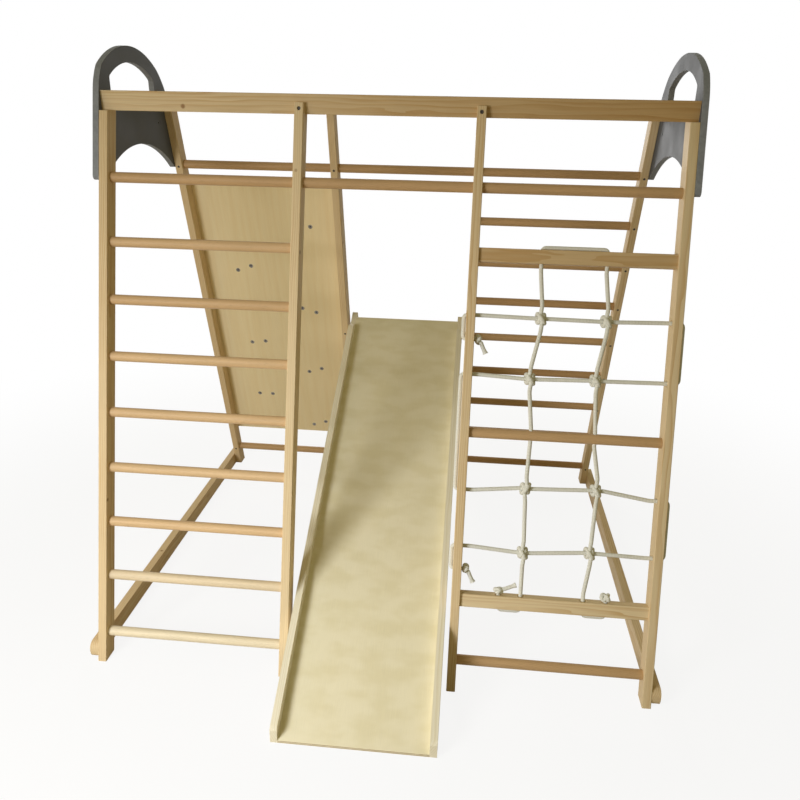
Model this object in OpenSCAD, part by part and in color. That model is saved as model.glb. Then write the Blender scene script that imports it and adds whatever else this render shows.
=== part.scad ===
// Wooden climbing frame with ladder, rope net, climbing wall and hook-on slide.
// Millimetres, +Z up, +Y from front panel to rear panel, origin on the floor under the middle of the part.

/* [Frame] */
// Width over the outer posts
frame_w = 1400; // [1300:10:1500]
// Depth on the floor over the feet of both panels
base_d = 1217; // [1180:1:1260]
// Width of a post seen from the front
post_w = 22; // [20:1:28]
// Depth of a post seen from the side
post_d = 45; // [42:1:55]
// Height at which the outer posts carry the top bars
post_top = 1330; // [1310:5:1360]
// Lean of the front panel in degrees
front_lean = 15.4; // [14:0.1:16]
// Lean of the rear panel in degrees
rear_lean = 17.2; // [16:0.1:18]
// Clear width of the middle bay
mid_clear = 404; // [390:2:430]
// Radius of the eased long edges
ease = 2; // [1:0.5:3]

/* [Rungs] */
// Diameter of every rung
rung_d = 25; // [22:0.5:28]
// Height of the lowest rung along the post
rung_foot = 75; // [70:1:85]
// Distance from the lowest rung to the next
rung_low_gap = 152; // [145:1:160]
// Distance between the rungs above it
rung_pitch = 141; // [135:1:142]
// Distance from the second highest rung to the top one
rung_top_gap = 155; // [150:1:158]
// Depth of the blind hole that seats a rung end
rung_seat = 15; // [14:0.5:17]

/* [Top bars] */
// Height of a top bar
bar_h = 45; // [40:1:55]
// Thickness of a top bar
bar_t = 22; // [18:1:24]
// Height of the lap of a middle post on its bar
lap_h = 26; // [24:1:32]

/* [Brackets] */
// Thickness of a bracket
bracket_t = 15; // [12:1:18]
// Rise of the arch above the outer posts
bracket_rise = 155; // [140:1:165]
// Drop of the bracket's feet below the tops of the outer posts
bracket_drop = 158; // [150:1:175]
// Radius of the arch's front shoulder
shoulder_front_r = 150; // [130:5:160]
// Radius of the arch's rear shoulder
shoulder_rear_r = 220; // [180:5:230]
// Radius of the arch's crown
crown_r = 285; // [270:5:300]
// Distance of the crown's middle from the bracket's middle, towards the front
crown_shift = 12; // [0:1:20]
// Width of the hand hole
hand_w = 262; // [220:2:280]
// Height of the hand hole
hand_h = 85; // [70:1:90]
// Height of the wood left over the hand hole
handle_h = 39; // [34:1:45]
// Width of the cut between the bracket's feet
arch_w = 436; // [400:2:440]
// Height of the cut between the bracket's feet
arch_h = 74; // [60:1:80]
// Radius of the corners of bracket feet and hand hole
bracket_round = 10; // [6:1:12]

/* [Floor rails] */
// Thickness of a floor rail
rail_t = 22; // [18:1:26]
// Height of a floor rail
rail_h = 45; // [40:1:50]
// Distance of the rail's front end behind the front foot
rail_set = 8; // [4:1:12]
// Distance of the rail's rear end past the rear foot
rail_over = 10; // [6:1:16]
// Radius of the rail's rounded ends
rail_round = 19; // [14:1:19]

/* [Rope net] */
// Diameter of the rope
rope_d = 10; // [8:0.5:10.5]
// Height of a net board
board_h = 33; // [30:1:38]
// Thickness of a net board
board_t = 29; // [26:1:32]
// Height of the bottom board over its rung level
bottom_board_rise = 7; // [0:1:10]
// Distance of the rope columns from the thirds of the net, towards the middle bay
column_shift = 4; // [0:0.5:8]

/* [Climbing wall] */
// Thickness of the wall
wall_t = 12; // [10:1:15]
// Height of the wall's lower edge along the posts
wall_low = 157; // [150:1:165]
// Length of the wall along the posts
wall_len = 1010; // [990:5:1020]
// Length of a climbing hold
hold_l = 104; // [96:1:112]
// Width of a climbing hold
hold_w = 58; // [54:1:64]
// Height of a climbing hold off the wall
hold_h = 36; // [32:1:42]

/* [Slide] */
// Width over the slide's rails
slide_w = 380; // [368:2:380]
// Thickness of a slide rail
slide_rail_t = 17; // [15:1:20]
// Thickness of the bed
bed_t = 9; // [8:0.5:12]
// Distance of the toe in front of the front feet
slide_reach = 205; // [190:1:220]
// Height of the bed over the axis of the crossbar
bed_lift = 54; // [50:1:58]
// Height of a rail over the bed
rail_rise = 28; // [24:1:32]
// Depth of a rail below the face of the bed
rail_drop = 40; // [36:1:42]
// Radius of the lobe that hooks over the crossbar
hook_r = 29; // [27:1:32]
// Length of the bed past the crossbar
bed_over = 13; // [8:1:18]
// Length of the rail tips past the crossbar
tip_over = 40; // [36:1:46]

/* [Fasteners] */
// Diameter of a frame bolt
bolt_d = 6; // [5:0.5:7]
// Diameter of a frame bolt's head
bolt_head_d = 13; // [12:0.5:15]
// Diameter of a wood screw
screw_d = 3.5; // [3:0.5:4]
// Diameter of a wood screw's head
screw_head_d = 7; // [6.5:0.5:8]

/* [Hidden] */
$fn = 64;

// Clearances of fixed joints, of the turning hook and of laid rope
fit = 0.1;
hook_fit = 0.3;
rope_fit = 0.3;

// Colours as the photo shows them
pine = "#DCC495";
beech = "#D8B98C";
ply = "#D9C79D";
grey = "#55554F";
rope_white = "#E8E4D8";
steel = "#6B6A66";
hold_grey = "#7D8A8C";

// Places of the panels on the floor, with the part centred front to back
front_y = (slide_reach - base_d - rail_over) / 2;
rear_y = front_y + base_d - post_d / cos(rear_lean);
toe_y = front_y - slide_reach;
half_w = frame_w / 2;
mid_x = mid_clear / 2;
far = 4 * frame_w;

// Left edges of the four posts of a panel, from left to right
post_x = [-half_w, -mid_x - post_w, mid_x, half_w - post_w];

// Heights of the rungs along the posts, with 1 the highest and 9 the lowest
low_rung = 9;
function level(i) =
    i == low_rung ? rung_foot
    : i == 1 ? level(2) + rung_top_gap
    : rung_foot + rung_low_gap + (low_rung - 1 - i) * rung_pitch;

// Levels that carry rungs, boards and rope rows
ladder_levels = [2, 3, 4, 5, 6, 7, 8, 9];
rear_rung_levels = [2, 3, 4, 6, 7, 8, 9];
top_board_level = 2;
mid_level = 5;
bottom_board_level = 8;
row_levels = [3, 4, 6, 7];

// Points in the side plane [y, z] at a height along a panel's posts and a depth into them
function front_at(s, depth) = [
    front_y + s * sin(front_lean) + depth * cos(front_lean),
    s * cos(front_lean) - depth * sin(front_lean)
];
function rear_at(s, depth) = [
    rear_y - s * sin(rear_lean) + depth * cos(rear_lean),
    s * cos(rear_lean) + depth * sin(rear_lean)
];

// Distances front to back at a given height: outer faces and post middles
function front_face(z) = front_y + z * tan(front_lean);
function rear_face(z) = front_y + base_d - z * tan(rear_lean);
function front_middle(z) = front_face(z) + post_d / 2 / cos(front_lean);
function rear_middle(z) = rear_face(z) - post_d / 2 / cos(rear_lean);

// Top bars stand upright, centred on the posts
front_bar_y = front_middle(post_top + bar_h / 2) - bar_t / 2;
rear_bar_y = rear_middle(post_top + bar_h / 2) - bar_t / 2;
lap_bolt_z = post_top + lap_h / 2;
lap_bolt_depth = 30;
counterbore_d = 9;
counterbore_depth = 6;
sunk_head_d = counterbore_d - 1;
lap_bolt_len = counterbore_depth + bar_t - 4;

// Brackets: a crown and two shoulders that run into the outer faces of the panels
apex_z = post_top + bracket_rise;
foot_z = post_top - bracket_drop;
front_shoulder_z = apex_z - shoulder_front_r;
rear_shoulder_z = apex_z - shoulder_rear_r;
front_shoulder = [
    front_face(front_shoulder_z) + shoulder_front_r / cos(front_lean),
    front_shoulder_z
];
rear_shoulder = [
    rear_face(rear_shoulder_z) - shoulder_rear_r / cos(rear_lean),
    rear_shoulder_z
];
bracket_mid = (front_face(post_top) + rear_face(post_top)) / 2;
crown = [bracket_mid - crown_shift, apex_z - crown_r];
arch_r = (pow(arch_w / 2, 2) + pow(arch_h, 2)) / (2 * arch_h);
spare_hole_d = 8;
spare_hole_in = 68;
spare_hole_drop = 32;
spare_hole = [rear_middle(post_top) - spare_hole_in, post_top - spare_hole_drop];
bracket_bolt_drops = [30, 110];
bracket_bolt_z = [for (drop = bracket_bolt_drops) post_top - drop];

// Bolts along the width: heads on the outside, shanks into the posts and bar ends
bolt_head_h = 4;
bolt_socket_d = 5;
bolt_socket_depth = 2.5;
post_bite = 17;
bar_bite = 40;

// Rope: routes run at the middle of the posts' depth, and the columns pass in front of the rows
rope_r = rope_d / 2;
rope_hole_d = rope_d + 1;
mouth_d = rope_d + 9;
mouth_depth = 5;
rope_bend = rope_d;
rope_sides = 10;
rope_lay = rope_r + rope_fit;
crossing_gap = 0.5;
rope_depth = post_d / 2;
weave_depth = rope_depth - rope_d - crossing_gap;
net_x = [mid_x + post_w, half_w - post_w];
net_third = (net_x[1] - net_x[0]) / 3;
column_x = [for (k = [1, 2]) net_x[0] + k * net_third - column_shift];
// Hand-set wander of the knots off the even grid, [along, up] for both columns of each row
knot_wander = [
    [[7, -2], [8, -3]],
    [[-10, -5], [-7, -2]],
    [[-4, 11], [12, 16]],
    [[-1, -8], [8, 2]]
];
knot_straight = 18;
function knot_x(row, column) = column_x[column] + knot_wander[row][column][0];
function knot_s(row, column) = level(row_levels[row]) + knot_wander[row][column][1];
// Ends of the row rope below its top row and its bottom row, and of the column rope outside its columns
row_end_drop = 58;
column_end_side = 54;
tail = 14;
top_board_s = level(top_board_level);
bottom_board_s = level(bottom_board_level) + bottom_board_rise;
top_board_top = top_board_s + board_h / 2;
bottom_board_top = bottom_board_s + board_h / 2;
bottom_board_low = bottom_board_s - board_h / 2;
// Turns of the knots: rings of rope pulled tight round the rope that they hold
turn_r = 0.43 * rope_d;
turn_fit = 0.4;
turn_gap = 0.2;
turn_ring = rope_r + turn_fit + turn_r;
hitch_side = rope_r + turn_fit + turn_r;
stopper_len = 4 * turn_r + turn_gap;

// Climbing holds: hand-set places on the wall, [from the wall's left edge, up from its lower edge, turn]
hold_places = [
    [365, 859, 19], [150, 710, 20], [358, 554, -17], [160, 413, 8],
    [358, 297, 19], [157, 175, 0], [354, 41, 20]
];
hold_bolt_gap = 50;
hold_crown = 0.6;
hold_lip_h = 5;
hold_bolt_head_d = 12;
hold_bolt_head_h = 6;
hold_bolt_sink = 12;
tee_flange_d = 14;
tee_flange_t = 1.2;
tee_barrel_d = 9;
wall_x = [-half_w, -mid_x];

// Wood screws
screw_head_h = 2.5;
rung_screw_len = 30;
wall_screw_len = 34;
wall_screw_steps = 6;
wall_screw_margin = 60;
slide_screw_len = 40;
slide_screw_steps = 6;
slide_screw_margin = 70;

// Slide: it turns about the crossbar and its toe rests on the floor
hook_at = rear_at(level(mid_level), post_d / 2);
toe_t = 6;
toe_to_hook = [hook_at[0] - toe_y, hook_at[1] - toe_t];
slide_pitch = atan2(toe_to_hook[1], toe_to_hook[0]) + asin(bed_lift / norm(toe_to_hook));
slide_len = sqrt(pow(norm(toe_to_hook), 2) - pow(bed_lift, 2));
rail_top = bed_lift + rail_rise;
rail_low = bed_lift - rail_drop;
rail_round_end = 6;
shoulder_u = -35;
bed_w = slide_w - 2 * slide_rail_t;

// Frames of reference

// Front panel: x along the width, y into the posts, z up along them
module front_panel() {
    translate([0, front_y, 0]) rotate([-front_lean, 0, 0]) children();
}

// Rear panel: x along the width, y from the inner face outward, z up along the posts
module rear_panel() {
    translate([0, rear_y, 0]) rotate([rear_lean, 0, 0]) children();
}

// Slide: x along the width, y up the slope, z square to the bed, origin on the crossbar
module slide_frame() {
    translate([0, hook_at[0], hook_at[1]]) rotate([slide_pitch, 0, 0]) children();
}

// Side plane [y, z], drawn flat and extruded along the width from a start
module along_width(start, length) {
    translate([start, 0, 0]) rotate([90, 0, 90]) linear_extrude(length) children();
}

// Everything between the floor and a height
module below(top) {
    translate([-far / 2, -far / 2, 0]) cube([far, far, top]);
}

// Shared shapes

module eased_rect(w, d) {
    translate([ease, 0]) square([w - 2 * ease, d]);
    translate([0, ease]) square([w, d - 2 * ease]);
    for (x = [ease, w - ease], y = [ease, d - ease]) translate([x, y]) circle(ease, $fn = 32);
}

// Round bar along the width
module dowel(d, start, end) {
    translate([start, 0, 0]) rotate([0, 90, 0]) cylinder(d = d, h = end - start);
}

// Countersunk wood screw that points along +y from its head at the origin, or its hole with room round it,
// which also runs past the face that it starts from
module wood_screw(length, room = 0) {
    flare = (screw_head_d - screw_d) / screw_head_h;
    mouth = screw_head_d + (2 + flare) * room;
    rotate([-90, 0, 0]) {
        translate([0, 0, -room]) cylinder(d1 = mouth, d2 = screw_d + 2 * room, h = screw_head_h + room);
        cylinder(d = screw_d + 2 * room, h = length + room);
    }
}

// Frame bolt that points along +x from the seat of its head at the origin
module frame_bolt(length) {
    difference() {
        rotate([0, 90, 0]) union() {
            translate([0, 0, -bolt_head_h]) cylinder(d = bolt_head_d, h = bolt_head_h);
            cylinder(d = bolt_d, h = length);
        }
        translate([-bolt_head_h - 1, 0, 0]) rotate([0, 90, 0])
            cylinder(d = bolt_socket_d, h = bolt_socket_depth + 1, $fn = 6);
    }
}

// Rope hole along the z axis of its frame, with eased mouths at both ends
module rope_hole(length) {
    cylinder(d = rope_hole_d, h = length);
    translate([0, 0, -fit]) cylinder(d1 = mouth_d, d2 = rope_hole_d, h = mouth_depth);
    translate([0, 0, length - mouth_depth + fit]) cylinder(d1 = rope_hole_d, d2 = mouth_d, h = mouth_depth);
}

// Places of the frame bolts on one side, [y, z, seat distance from the post, bite]
function side_bolts() = concat(
    [for (z = bracket_bolt_z) [front_middle(z), z, bracket_t, post_bite]],
    [for (z = bracket_bolt_z) [rear_middle(z), z, bracket_t, post_bite]],
    [for (y = [front_bar_y, rear_bar_y]) [y + bar_t / 2, post_top + bar_h / 2, bracket_t, bar_bite]],
    [for (y = [front_middle(rail_h / 2), rear_middle(rail_h / 2)]) [y, rail_h / 2, rail_t, post_bite]]
);

// Holes for the side bolts on both sides of the frame
module side_bolt_holes() {
    for (b = side_bolts(), turn = [0, 180]) translate([0, b[0], b[1]]) rotate([0, turn, 0])
        dowel(bolt_d + 2 * fit, -half_w - b[2] - 1, -half_w + b[3] + 1);
}

// Bolts and holes of the four laps, seen from the panel's outer side
module lap_bolt_holes(y, out) {
    for (side = [-1, 1]) translate([side * (mid_x + post_w / 2), y, lap_bolt_z]) rotate([out * 90, 0, 0]) {
        translate([0, 0, -lap_bolt_depth]) cylinder(d = bolt_d + 2 * fit, h = 2 * lap_bolt_depth);
        cylinder(d = counterbore_d, h = lap_bolt_depth);
    }
}

// Posts

// Screw holes at the levels of a post's rungs, in the panel's frame
module post_screws(x, levels, face, turn, room) {
    for (i = levels) translate([x + post_w / 2, face, level(i)]) rotate([turn, 0, 0])
        wood_screw(rung_screw_len, room);
}

// Rung holes in a post: blind from the right (1), blind from the left (-1) or right through (0)
module rung_holes(x, levels, side) {
    start = side > 0 ? x + post_w - rung_seat : x - 1;
    end = side < 0 ? x + rung_seat : x + post_w + 1;
    for (i = levels) translate([0, post_d / 2, level(i)]) dowel(rung_d + 2 * fit, start, end);
}

module post_blank(x) {
    translate([x, 0, -post_d]) linear_extrude(2 * post_top) eased_rect(post_w, post_d);
}

// Front post, cut level at floor and top; a middle post keeps a tongue in front of its bar
module front_post(n, middle) {
    x = post_x[n];
    difference() {
        intersection() {
            front_panel() post_blank(x);
            below(middle ? post_top + lap_h : post_top);
        }
        if (middle) translate([x - 1, front_bar_y, post_top]) cube([post_w + 2, far, far]);
        if (middle) lap_bolt_holes(front_bar_y - counterbore_depth, 1);
        side_bolt_holes();
        front_panel() children();
    }
}

// Rear post, cut the same way; a middle post keeps a tongue behind its bar
module rear_post(n, middle) {
    x = post_x[n];
    difference() {
        intersection() {
            rear_panel() post_blank(x);
            below(middle ? post_top + lap_h : post_top);
        }
        if (middle) translate([x - 1, rear_bar_y + bar_t - far, post_top]) cube([post_w + 2, far, far]);
        if (middle) lap_bolt_holes(rear_bar_y + bar_t + counterbore_depth, -1);
        side_bolt_holes();
        rear_panel() children();
    }
}

// Levels at which each post holds a screw
front_screw_levels = [
    concat([1], ladder_levels),
    concat([1], ladder_levels),
    [1, mid_level, low_rung],
    [1, mid_level, low_rung]
];
rear_screw_levels = [
    [1, low_rung],
    [1, mid_level, low_rung],
    concat([1, mid_level], rear_rung_levels),
    concat([1, mid_level], rear_rung_levels)
];

// Screws of the front posts go in from the inner face, those of the rear posts too
module front_screw_row(n, room = 0) {
    post_screws(post_x[n], front_screw_levels[n], post_d, 180, room);
}
module rear_screw_row(n, room = 0) {
    post_screws(post_x[n], rear_screw_levels[n], 0, 0, room);
}

// Rope holes of the rows through a net post
module row_holes(x) {
    for (i = row_levels) translate([x, rope_depth, level(i)]) rotate([0, 90, 0]) rope_hole(post_w);
}

module front_left_post() {
    color(pine) front_post(0, false) {
        rung_holes(post_x[0], concat([1], ladder_levels), 1);
        front_screw_row(0, fit);
    }
}

module front_mid_left_post() {
    color(pine) front_post(1, true) {
        rung_holes(post_x[1], ladder_levels, -1);
        rung_holes(post_x[1], [1], 0);
        front_screw_row(1, fit);
    }
}

module front_mid_right_post() {
    color(pine) front_post(2, true) {
        rung_holes(post_x[2], [mid_level, low_rung], 1);
        rung_holes(post_x[2], [1], 0);
        front_screw_row(2, fit);
        row_holes(post_x[2]);
        for (s = row_end_s) translate([post_x[2], rope_depth, s]) rotate([0, 90, 0]) rope_hole(post_w);
    }
}

module front_right_post() {
    color(pine) front_post(3, false) {
        rung_holes(post_x[3], [1, mid_level, low_rung], -1);
        front_screw_row(3, fit);
        row_holes(post_x[3]);
    }
}

module rear_left_post() {
    color(pine) rear_post(0, false) {
        rung_holes(post_x[0], [1, low_rung], 1);
        rear_screw_row(0, fit);
        wall_screw_set(fit);
    }
}

module rear_mid_left_post() {
    color(pine) rear_post(1, true) {
        rung_holes(post_x[1], [low_rung], -1);
        rung_holes(post_x[1], [mid_level], 1);
        rung_holes(post_x[1], [1], 0);
        rear_screw_row(1, fit);
        wall_screw_set(fit);
    }
}

module rear_mid_right_post() {
    color(pine) rear_post(2, true) {
        rung_holes(post_x[2], rear_rung_levels, 1);
        rung_holes(post_x[2], [1, mid_level], 0);
        rear_screw_row(2, fit);
    }
}

module rear_right_post() {
    color(pine) rear_post(3, false) {
        rung_holes(post_x[3], concat([1, mid_level], rear_rung_levels), -1);
        rear_screw_row(3, fit);
    }
}

// Top bars and rungs

module top_bar(y) {
    along_width(-half_w, frame_w) translate([y, post_top]) eased_rect(bar_t, bar_h);
}

module front_top_bar() {
    color(pine) difference() {
        top_bar(front_bar_y);
        side_bolt_holes();
        lap_bolt_holes(front_bar_y - counterbore_depth, 1);
    }
}

module rear_top_bar() {
    color(pine) difference() {
        top_bar(rear_bar_y);
        side_bolt_holes();
        lap_bolt_holes(rear_bar_y + bar_t + counterbore_depth, -1);
    }
}

// Rung of the front panel between two posts, seated in both
module front_rung(i, from, to) {
    color(beech) front_panel() difference() {
        translate([0, post_d / 2, level(i)])
            dowel(rung_d, post_x[from] + post_w - rung_seat + fit, post_x[to] + rung_seat - fit);
        for (n = [from : to]) front_screw_row(n, fit);
    }
}

module rear_rung(i, from, to) {
    color(beech) rear_panel() difference() {
        translate([0, post_d / 2, level(i)])
            dowel(rung_d, post_x[from] + post_w - rung_seat + fit, post_x[to] + rung_seat - fit);
        for (n = [from : to]) rear_screw_row(n, fit);
    }
}

// Rope net

function unit(v) = v / norm(v);
function turned(v, angle) = [v[0] * cos(angle) - v[1] * sin(angle), v[0] * sin(angle) + v[1] * cos(angle)];

// A route's point is [along the width, up the posts, depth into them]
function flat(p) = [p[0], p[1]];

// Points of a round corner at b on the way from a to c, all at the depth of b
function corner(a, b, c) =
    let (
        at = flat(b),
        u = unit(at - flat(a)),
        w = unit(flat(c) - at),
        turn = acos(max(-1, min(1, u * w))),
        side = sign(u[0] * w[1] - u[1] * w[0]),
        reach = rope_bend * tan(turn / 2),
        steps = ceil(turn / 22.5),
        spoke = -side * rope_bend * [-u[1], u[0]],
        centre = at - reach * u - spoke
    )
    turn < 15 ? [b] : [for (k = [0 : steps]) concat(centre + turned(spoke, side * turn * k / steps), b[2])];

function rounded(route) = concat(
    [route[0]],
    [for (i = [1 : len(route) - 2]) each corner(route[i - 1], route[i], route[i + 1])],
    [route[len(route) - 1]]
);

// Rope swept along a route of the front panel
module rope(route) {
    path = rounded(route);
    last = len(path) - 1;
    ring_points = [
        for (i = [0 : last])
            let (
                ahead = unit(path[min(i + 1, last)] - path[max(i - 1, 0)]),
                side = unit(cross([0, 0, 1], ahead)),
                out = cross(ahead, side)
            )
            for (k = [0 : rope_sides - 1])
                let (
                    a = 360 * k / rope_sides,
                    p = path[i] + rope_r * (cos(a) * side + sin(a) * out)
                )
                [p[0], p[2], p[1]]
    ];
    walls = [
        for (i = [0 : last - 1], k = [0 : rope_sides - 1])
            let (next = (k + 1) % rope_sides, at = i * rope_sides, over = at + rope_sides)
            [at + k, over + k, over + next, at + next]
    ];
    caps = [
        [for (k = [0 : rope_sides - 1]) k],
        [for (k = [0 : rope_sides - 1]) (last + 1) * rope_sides - 1 - k]
    ];
    polyhedron(points = ring_points, faces = concat(walls, caps), convexity = 10);
}

// Faces of the two net posts that the row rope lies on, and the ends of that rope
row_left = net_x[0] - post_w - rope_lay;
row_right = half_w + rope_lay;
row_end_s = [level(row_levels[0]) - row_end_drop, level(row_levels[3]) - row_end_drop];
stopper_x = net_x[0] + stopper_len;

// Straight stretches through the knots of one row, listed from left to right
function row_points(row) = [
    for (c = [0, 1], d = [-knot_straight, knot_straight]) [knot_x(row, c) + d, knot_s(row, c), rope_depth]
];
function reversed(list) = [for (i = [len(list) - 1 : -1 : 0]) list[i]];

// Lead of a row through its posts: straight, so that it stays clear of the holes
function row_run(row) = concat(
    [for (x = [row_left, net_x[0] + knot_straight]) [x, level(row_levels[row]), rope_depth]],
    row_points(row),
    [for (x = [net_x[1] - knot_straight, row_right]) [x, level(row_levels[row]), rope_depth]]
);

function row_end(s) = concat(
    [[stopper_x + 2 * tail, s - tail, rope_depth]],
    [for (x = [stopper_x + tail, row_left]) [x, s, rope_depth]]
);

function row_route() = concat(
    row_end(row_end_s[0]),
    row_run(0),
    reversed(row_run(1)),
    row_run(2),
    reversed(row_run(3)),
    reversed(row_end(row_end_s[1]))
);

// Straight stretches through boards, knots and rung of one column, listed from the bottom upward
function crossing(r, c) = [
    for (d = [-knot_straight, knot_straight]) [knot_x(r, c), knot_s(r, c) + d, weave_depth]
];
function column_points(c) = concat(
    [[column_x[c], bottom_board_top + knot_straight, rope_depth]],
    crossing(3, c),
    crossing(2, c),
    [for (d = [-knot_straight, knot_straight]) [column_x[c], level(mid_level) + d, rope_depth]],
    crossing(1, c),
    crossing(0, c),
    [[column_x[c], top_board_top - board_h - knot_straight, rope_depth]]
);

column_ends = [column_x[0] - column_end_side, column_x[1] + column_end_side];
column_stop = bottom_board_top + stopper_len;

function column_route() = concat(
    [[column_ends[0] + 2 * tail, column_stop + 2 * tail, rope_depth]],
    [[column_ends[0], column_stop + tail, rope_depth]],
    [for (x = [column_ends[0], column_x[0]]) [x, bottom_board_low - rope_lay, rope_depth]],
    column_points(0),
    [for (x = column_x) [x, top_board_top + rope_lay, rope_depth]],
    reversed(column_points(1)),
    [for (x = [column_x[1], column_ends[1]]) [x, bottom_board_low - rope_lay, rope_depth]],
    [[column_ends[1], column_stop + tail, rope_depth]]
);

module net_row_rope() {
    color(rope_white) front_panel() rope(row_route());
}

module net_column_rope() {
    color(rope_white) front_panel() rope(column_route());
}

// One turn of rope round the z axis
module rope_turn() {
    rotate_extrude() translate([turn_ring, 0]) circle(turn_r, $fn = 32);
}

// Hitches: a turn round the row on either side of the column
module net_knots() {
    color(rope_white) front_panel() for (r = [0 : len(row_levels) - 1], c = [0, 1], side = [-1, 1])
        translate([knot_x(r, c) + side * hitch_side, rope_depth, knot_s(r, c)]) rotate([0, 90, 0])
            rope_turn();
}

// Stopper knots: two turns round each rope end, tight against wood
module rope_stoppers() {
    color(rope_white) front_panel() for (turn = [0, 1]) {
        lift = turn_r + rope_fit + turn * (2 * turn_r + turn_gap);
        for (s = row_end_s) translate([net_x[0] + lift, rope_depth, s]) rotate([0, 90, 0]) rope_turn();
        for (x = column_ends) translate([x, rope_depth, bottom_board_top + lift]) rope_turn();
    }
}

// Board between the net posts, centred on their depth, with rope holes at the given places
module net_board(s, holes) {
    color(pine) front_panel() difference() {
        along_width(net_x[0], net_x[1] - net_x[0])
            translate([(post_d - board_t) / 2, s - board_h / 2]) eased_rect(board_t, board_h);
        for (x = holes) translate([x, rope_depth, s - board_h / 2]) rope_hole(board_h);
    }
}

module net_top_board() {
    net_board(top_board_s, column_x);
}

module net_bottom_board() {
    net_board(bottom_board_s, concat(column_x, column_ends));
}

module net_mid_rung() {
    difference() {
        front_rung(mid_level, 2, 3);
        front_panel() for (x = column_x) translate([x, rope_depth, level(mid_level) - rung_d])
            cylinder(d = rope_hole_d, h = 2 * rung_d);
    }
}

// Climbing wall, in the rear panel's frame

// Place of a hold on the outer face of the wall
module at_hold(p) {
    translate([wall_x[0] + p[0], post_d + wall_t, wall_low + p[1]]) rotate([0, -p[2], 0]) children();
}

module at_hold_bolts() {
    for (p = hold_places, side = [-1, 1]) at_hold(p) translate([side * hold_bolt_gap / 2, 0, 0]) children();
}

module wall_screw_set(room = 0) {
    step = (wall_len - 2 * wall_screw_margin) / (wall_screw_steps - 1);
    for (x = [wall_x[0] + post_w / 2, wall_x[1] - post_w / 2], k = [0 : wall_screw_steps - 1])
        translate([x, post_d + wall_t, wall_low + wall_screw_margin + k * step]) rotate([180, 0, 0])
            wood_screw(wall_screw_len, room);
}

module climbing_wall() {
    color(ply) rear_panel() difference() {
        translate([wall_x[0], post_d, wall_low]) cube([wall_x[1] - wall_x[0], wall_t, wall_len]);
        at_hold_bolts() translate([0, 1, 0]) rotate([90, 0, 0])
            cylinder(d = tee_barrel_d + 2 * fit, h = wall_t + 2);
        at_hold_bolts() translate([0, -wall_t + tee_flange_t, 0]) rotate([90, 0, 0])
            cylinder(d = tee_flange_d + 2 * fit, h = wall_t);
        wall_screw_set(fit);
    }
}

// Half section of a hold's dome: a low upright lip at the wall and a round back
module hold_profile() {
    lip = hold_w / 2;
    crown = lip * hold_crown;
    back = hold_h - hold_lip_h;
    polygon(concat(
        [[0, 0], [lip, 0]],
        [for (a = [0 : 15 : 90]) [crown + (lip - crown) * cos(a), hold_lip_h + back * sin(a)]],
        [[0, hold_h]]
    ));
}

// Pebble shape of a hold: two domes blended, flat on the wall
module hold_body() {
    hull() for (side = [-1, 1]) translate([side * (hold_l - hold_w) / 2, 0, 0]) rotate([-90, 0, 0])
        rotate_extrude($fn = 32) hold_profile();
}

module climbing_hold(n) {
    color(hold_grey) rear_panel() at_hold(hold_places[n]) difference() {
        hold_body();
        for (side = [-1, 1]) translate([side * hold_bolt_gap / 2, -1, 0]) rotate([-90, 0, 0]) {
            cylinder(d = bolt_d + 2 * fit, h = hold_h + 2);
            translate([0, 0, hold_h - hold_bolt_sink + 1])
                cylinder(d = hold_bolt_head_d + 1, h = hold_bolt_sink + 1);
        }
    }
}

module hold_bolts() {
    color(steel) rear_panel() at_hold_bolts() rotate([-90, 0, 0]) difference() {
        union() {
            translate([0, 0, hold_h - hold_bolt_sink]) cylinder(d = hold_bolt_head_d, h = hold_bolt_head_h);
            translate([0, 0, -wall_t]) cylinder(d = bolt_d, h = wall_t + hold_h - hold_bolt_sink);
        }
        translate([0, 0, hold_h - hold_bolt_sink + hold_bolt_head_h - bolt_socket_depth])
            cylinder(d = bolt_socket_d, h = bolt_socket_depth + 1, $fn = 6);
    }
}

// Tee nuts let into the inner face of the wall
module hold_tee_nuts() {
    color(steel) rear_panel() at_hold_bolts() translate([0, -wall_t, 0]) rotate([-90, 0, 0]) difference() {
        union() {
            cylinder(d = tee_flange_d, h = tee_flange_t);
            cylinder(d = tee_barrel_d, h = wall_t - 2);
        }
        translate([0, 0, -1]) cylinder(d = bolt_d + 2 * fit, h = wall_t);
    }
}

module wall_screws() {
    color(steel) rear_panel() wall_screw_set();
}

module rung_screws() {
    color(steel) {
        front_panel() for (n = [0 : 3]) front_screw_row(n);
        rear_panel() for (n = [0 : 3]) rear_screw_row(n);
    }
}

// Brackets

// Hand hole: its upper side runs along with the crown
module hand_hole() {
    offset(r = bracket_round, $fn = 48) offset(delta = -bracket_round) intersection() {
        translate(crown) circle(crown_r - handle_h, $fn = 192);
        translate([crown[0] - hand_w / 2, apex_z - handle_h - hand_h]) square([hand_w, hand_h]);
    }
}

// Two shoulders and the feet on the outer faces of both panels
module bracket_shoulders() {
    translate(front_shoulder) circle(shoulder_front_r, $fn = 128);
    translate(rear_shoulder) circle(shoulder_rear_r, $fn = 128);
    polygon([
        front_shoulder + shoulder_front_r * [-cos(front_lean), sin(front_lean)],
        [front_shoulder[0], apex_z],
        [rear_shoulder[0], apex_z],
        rear_shoulder + shoulder_rear_r * [cos(rear_lean), sin(rear_lean)],
        [rear_face(foot_z), foot_z],
        [front_face(foot_z), foot_z]
    ]);
}

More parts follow.
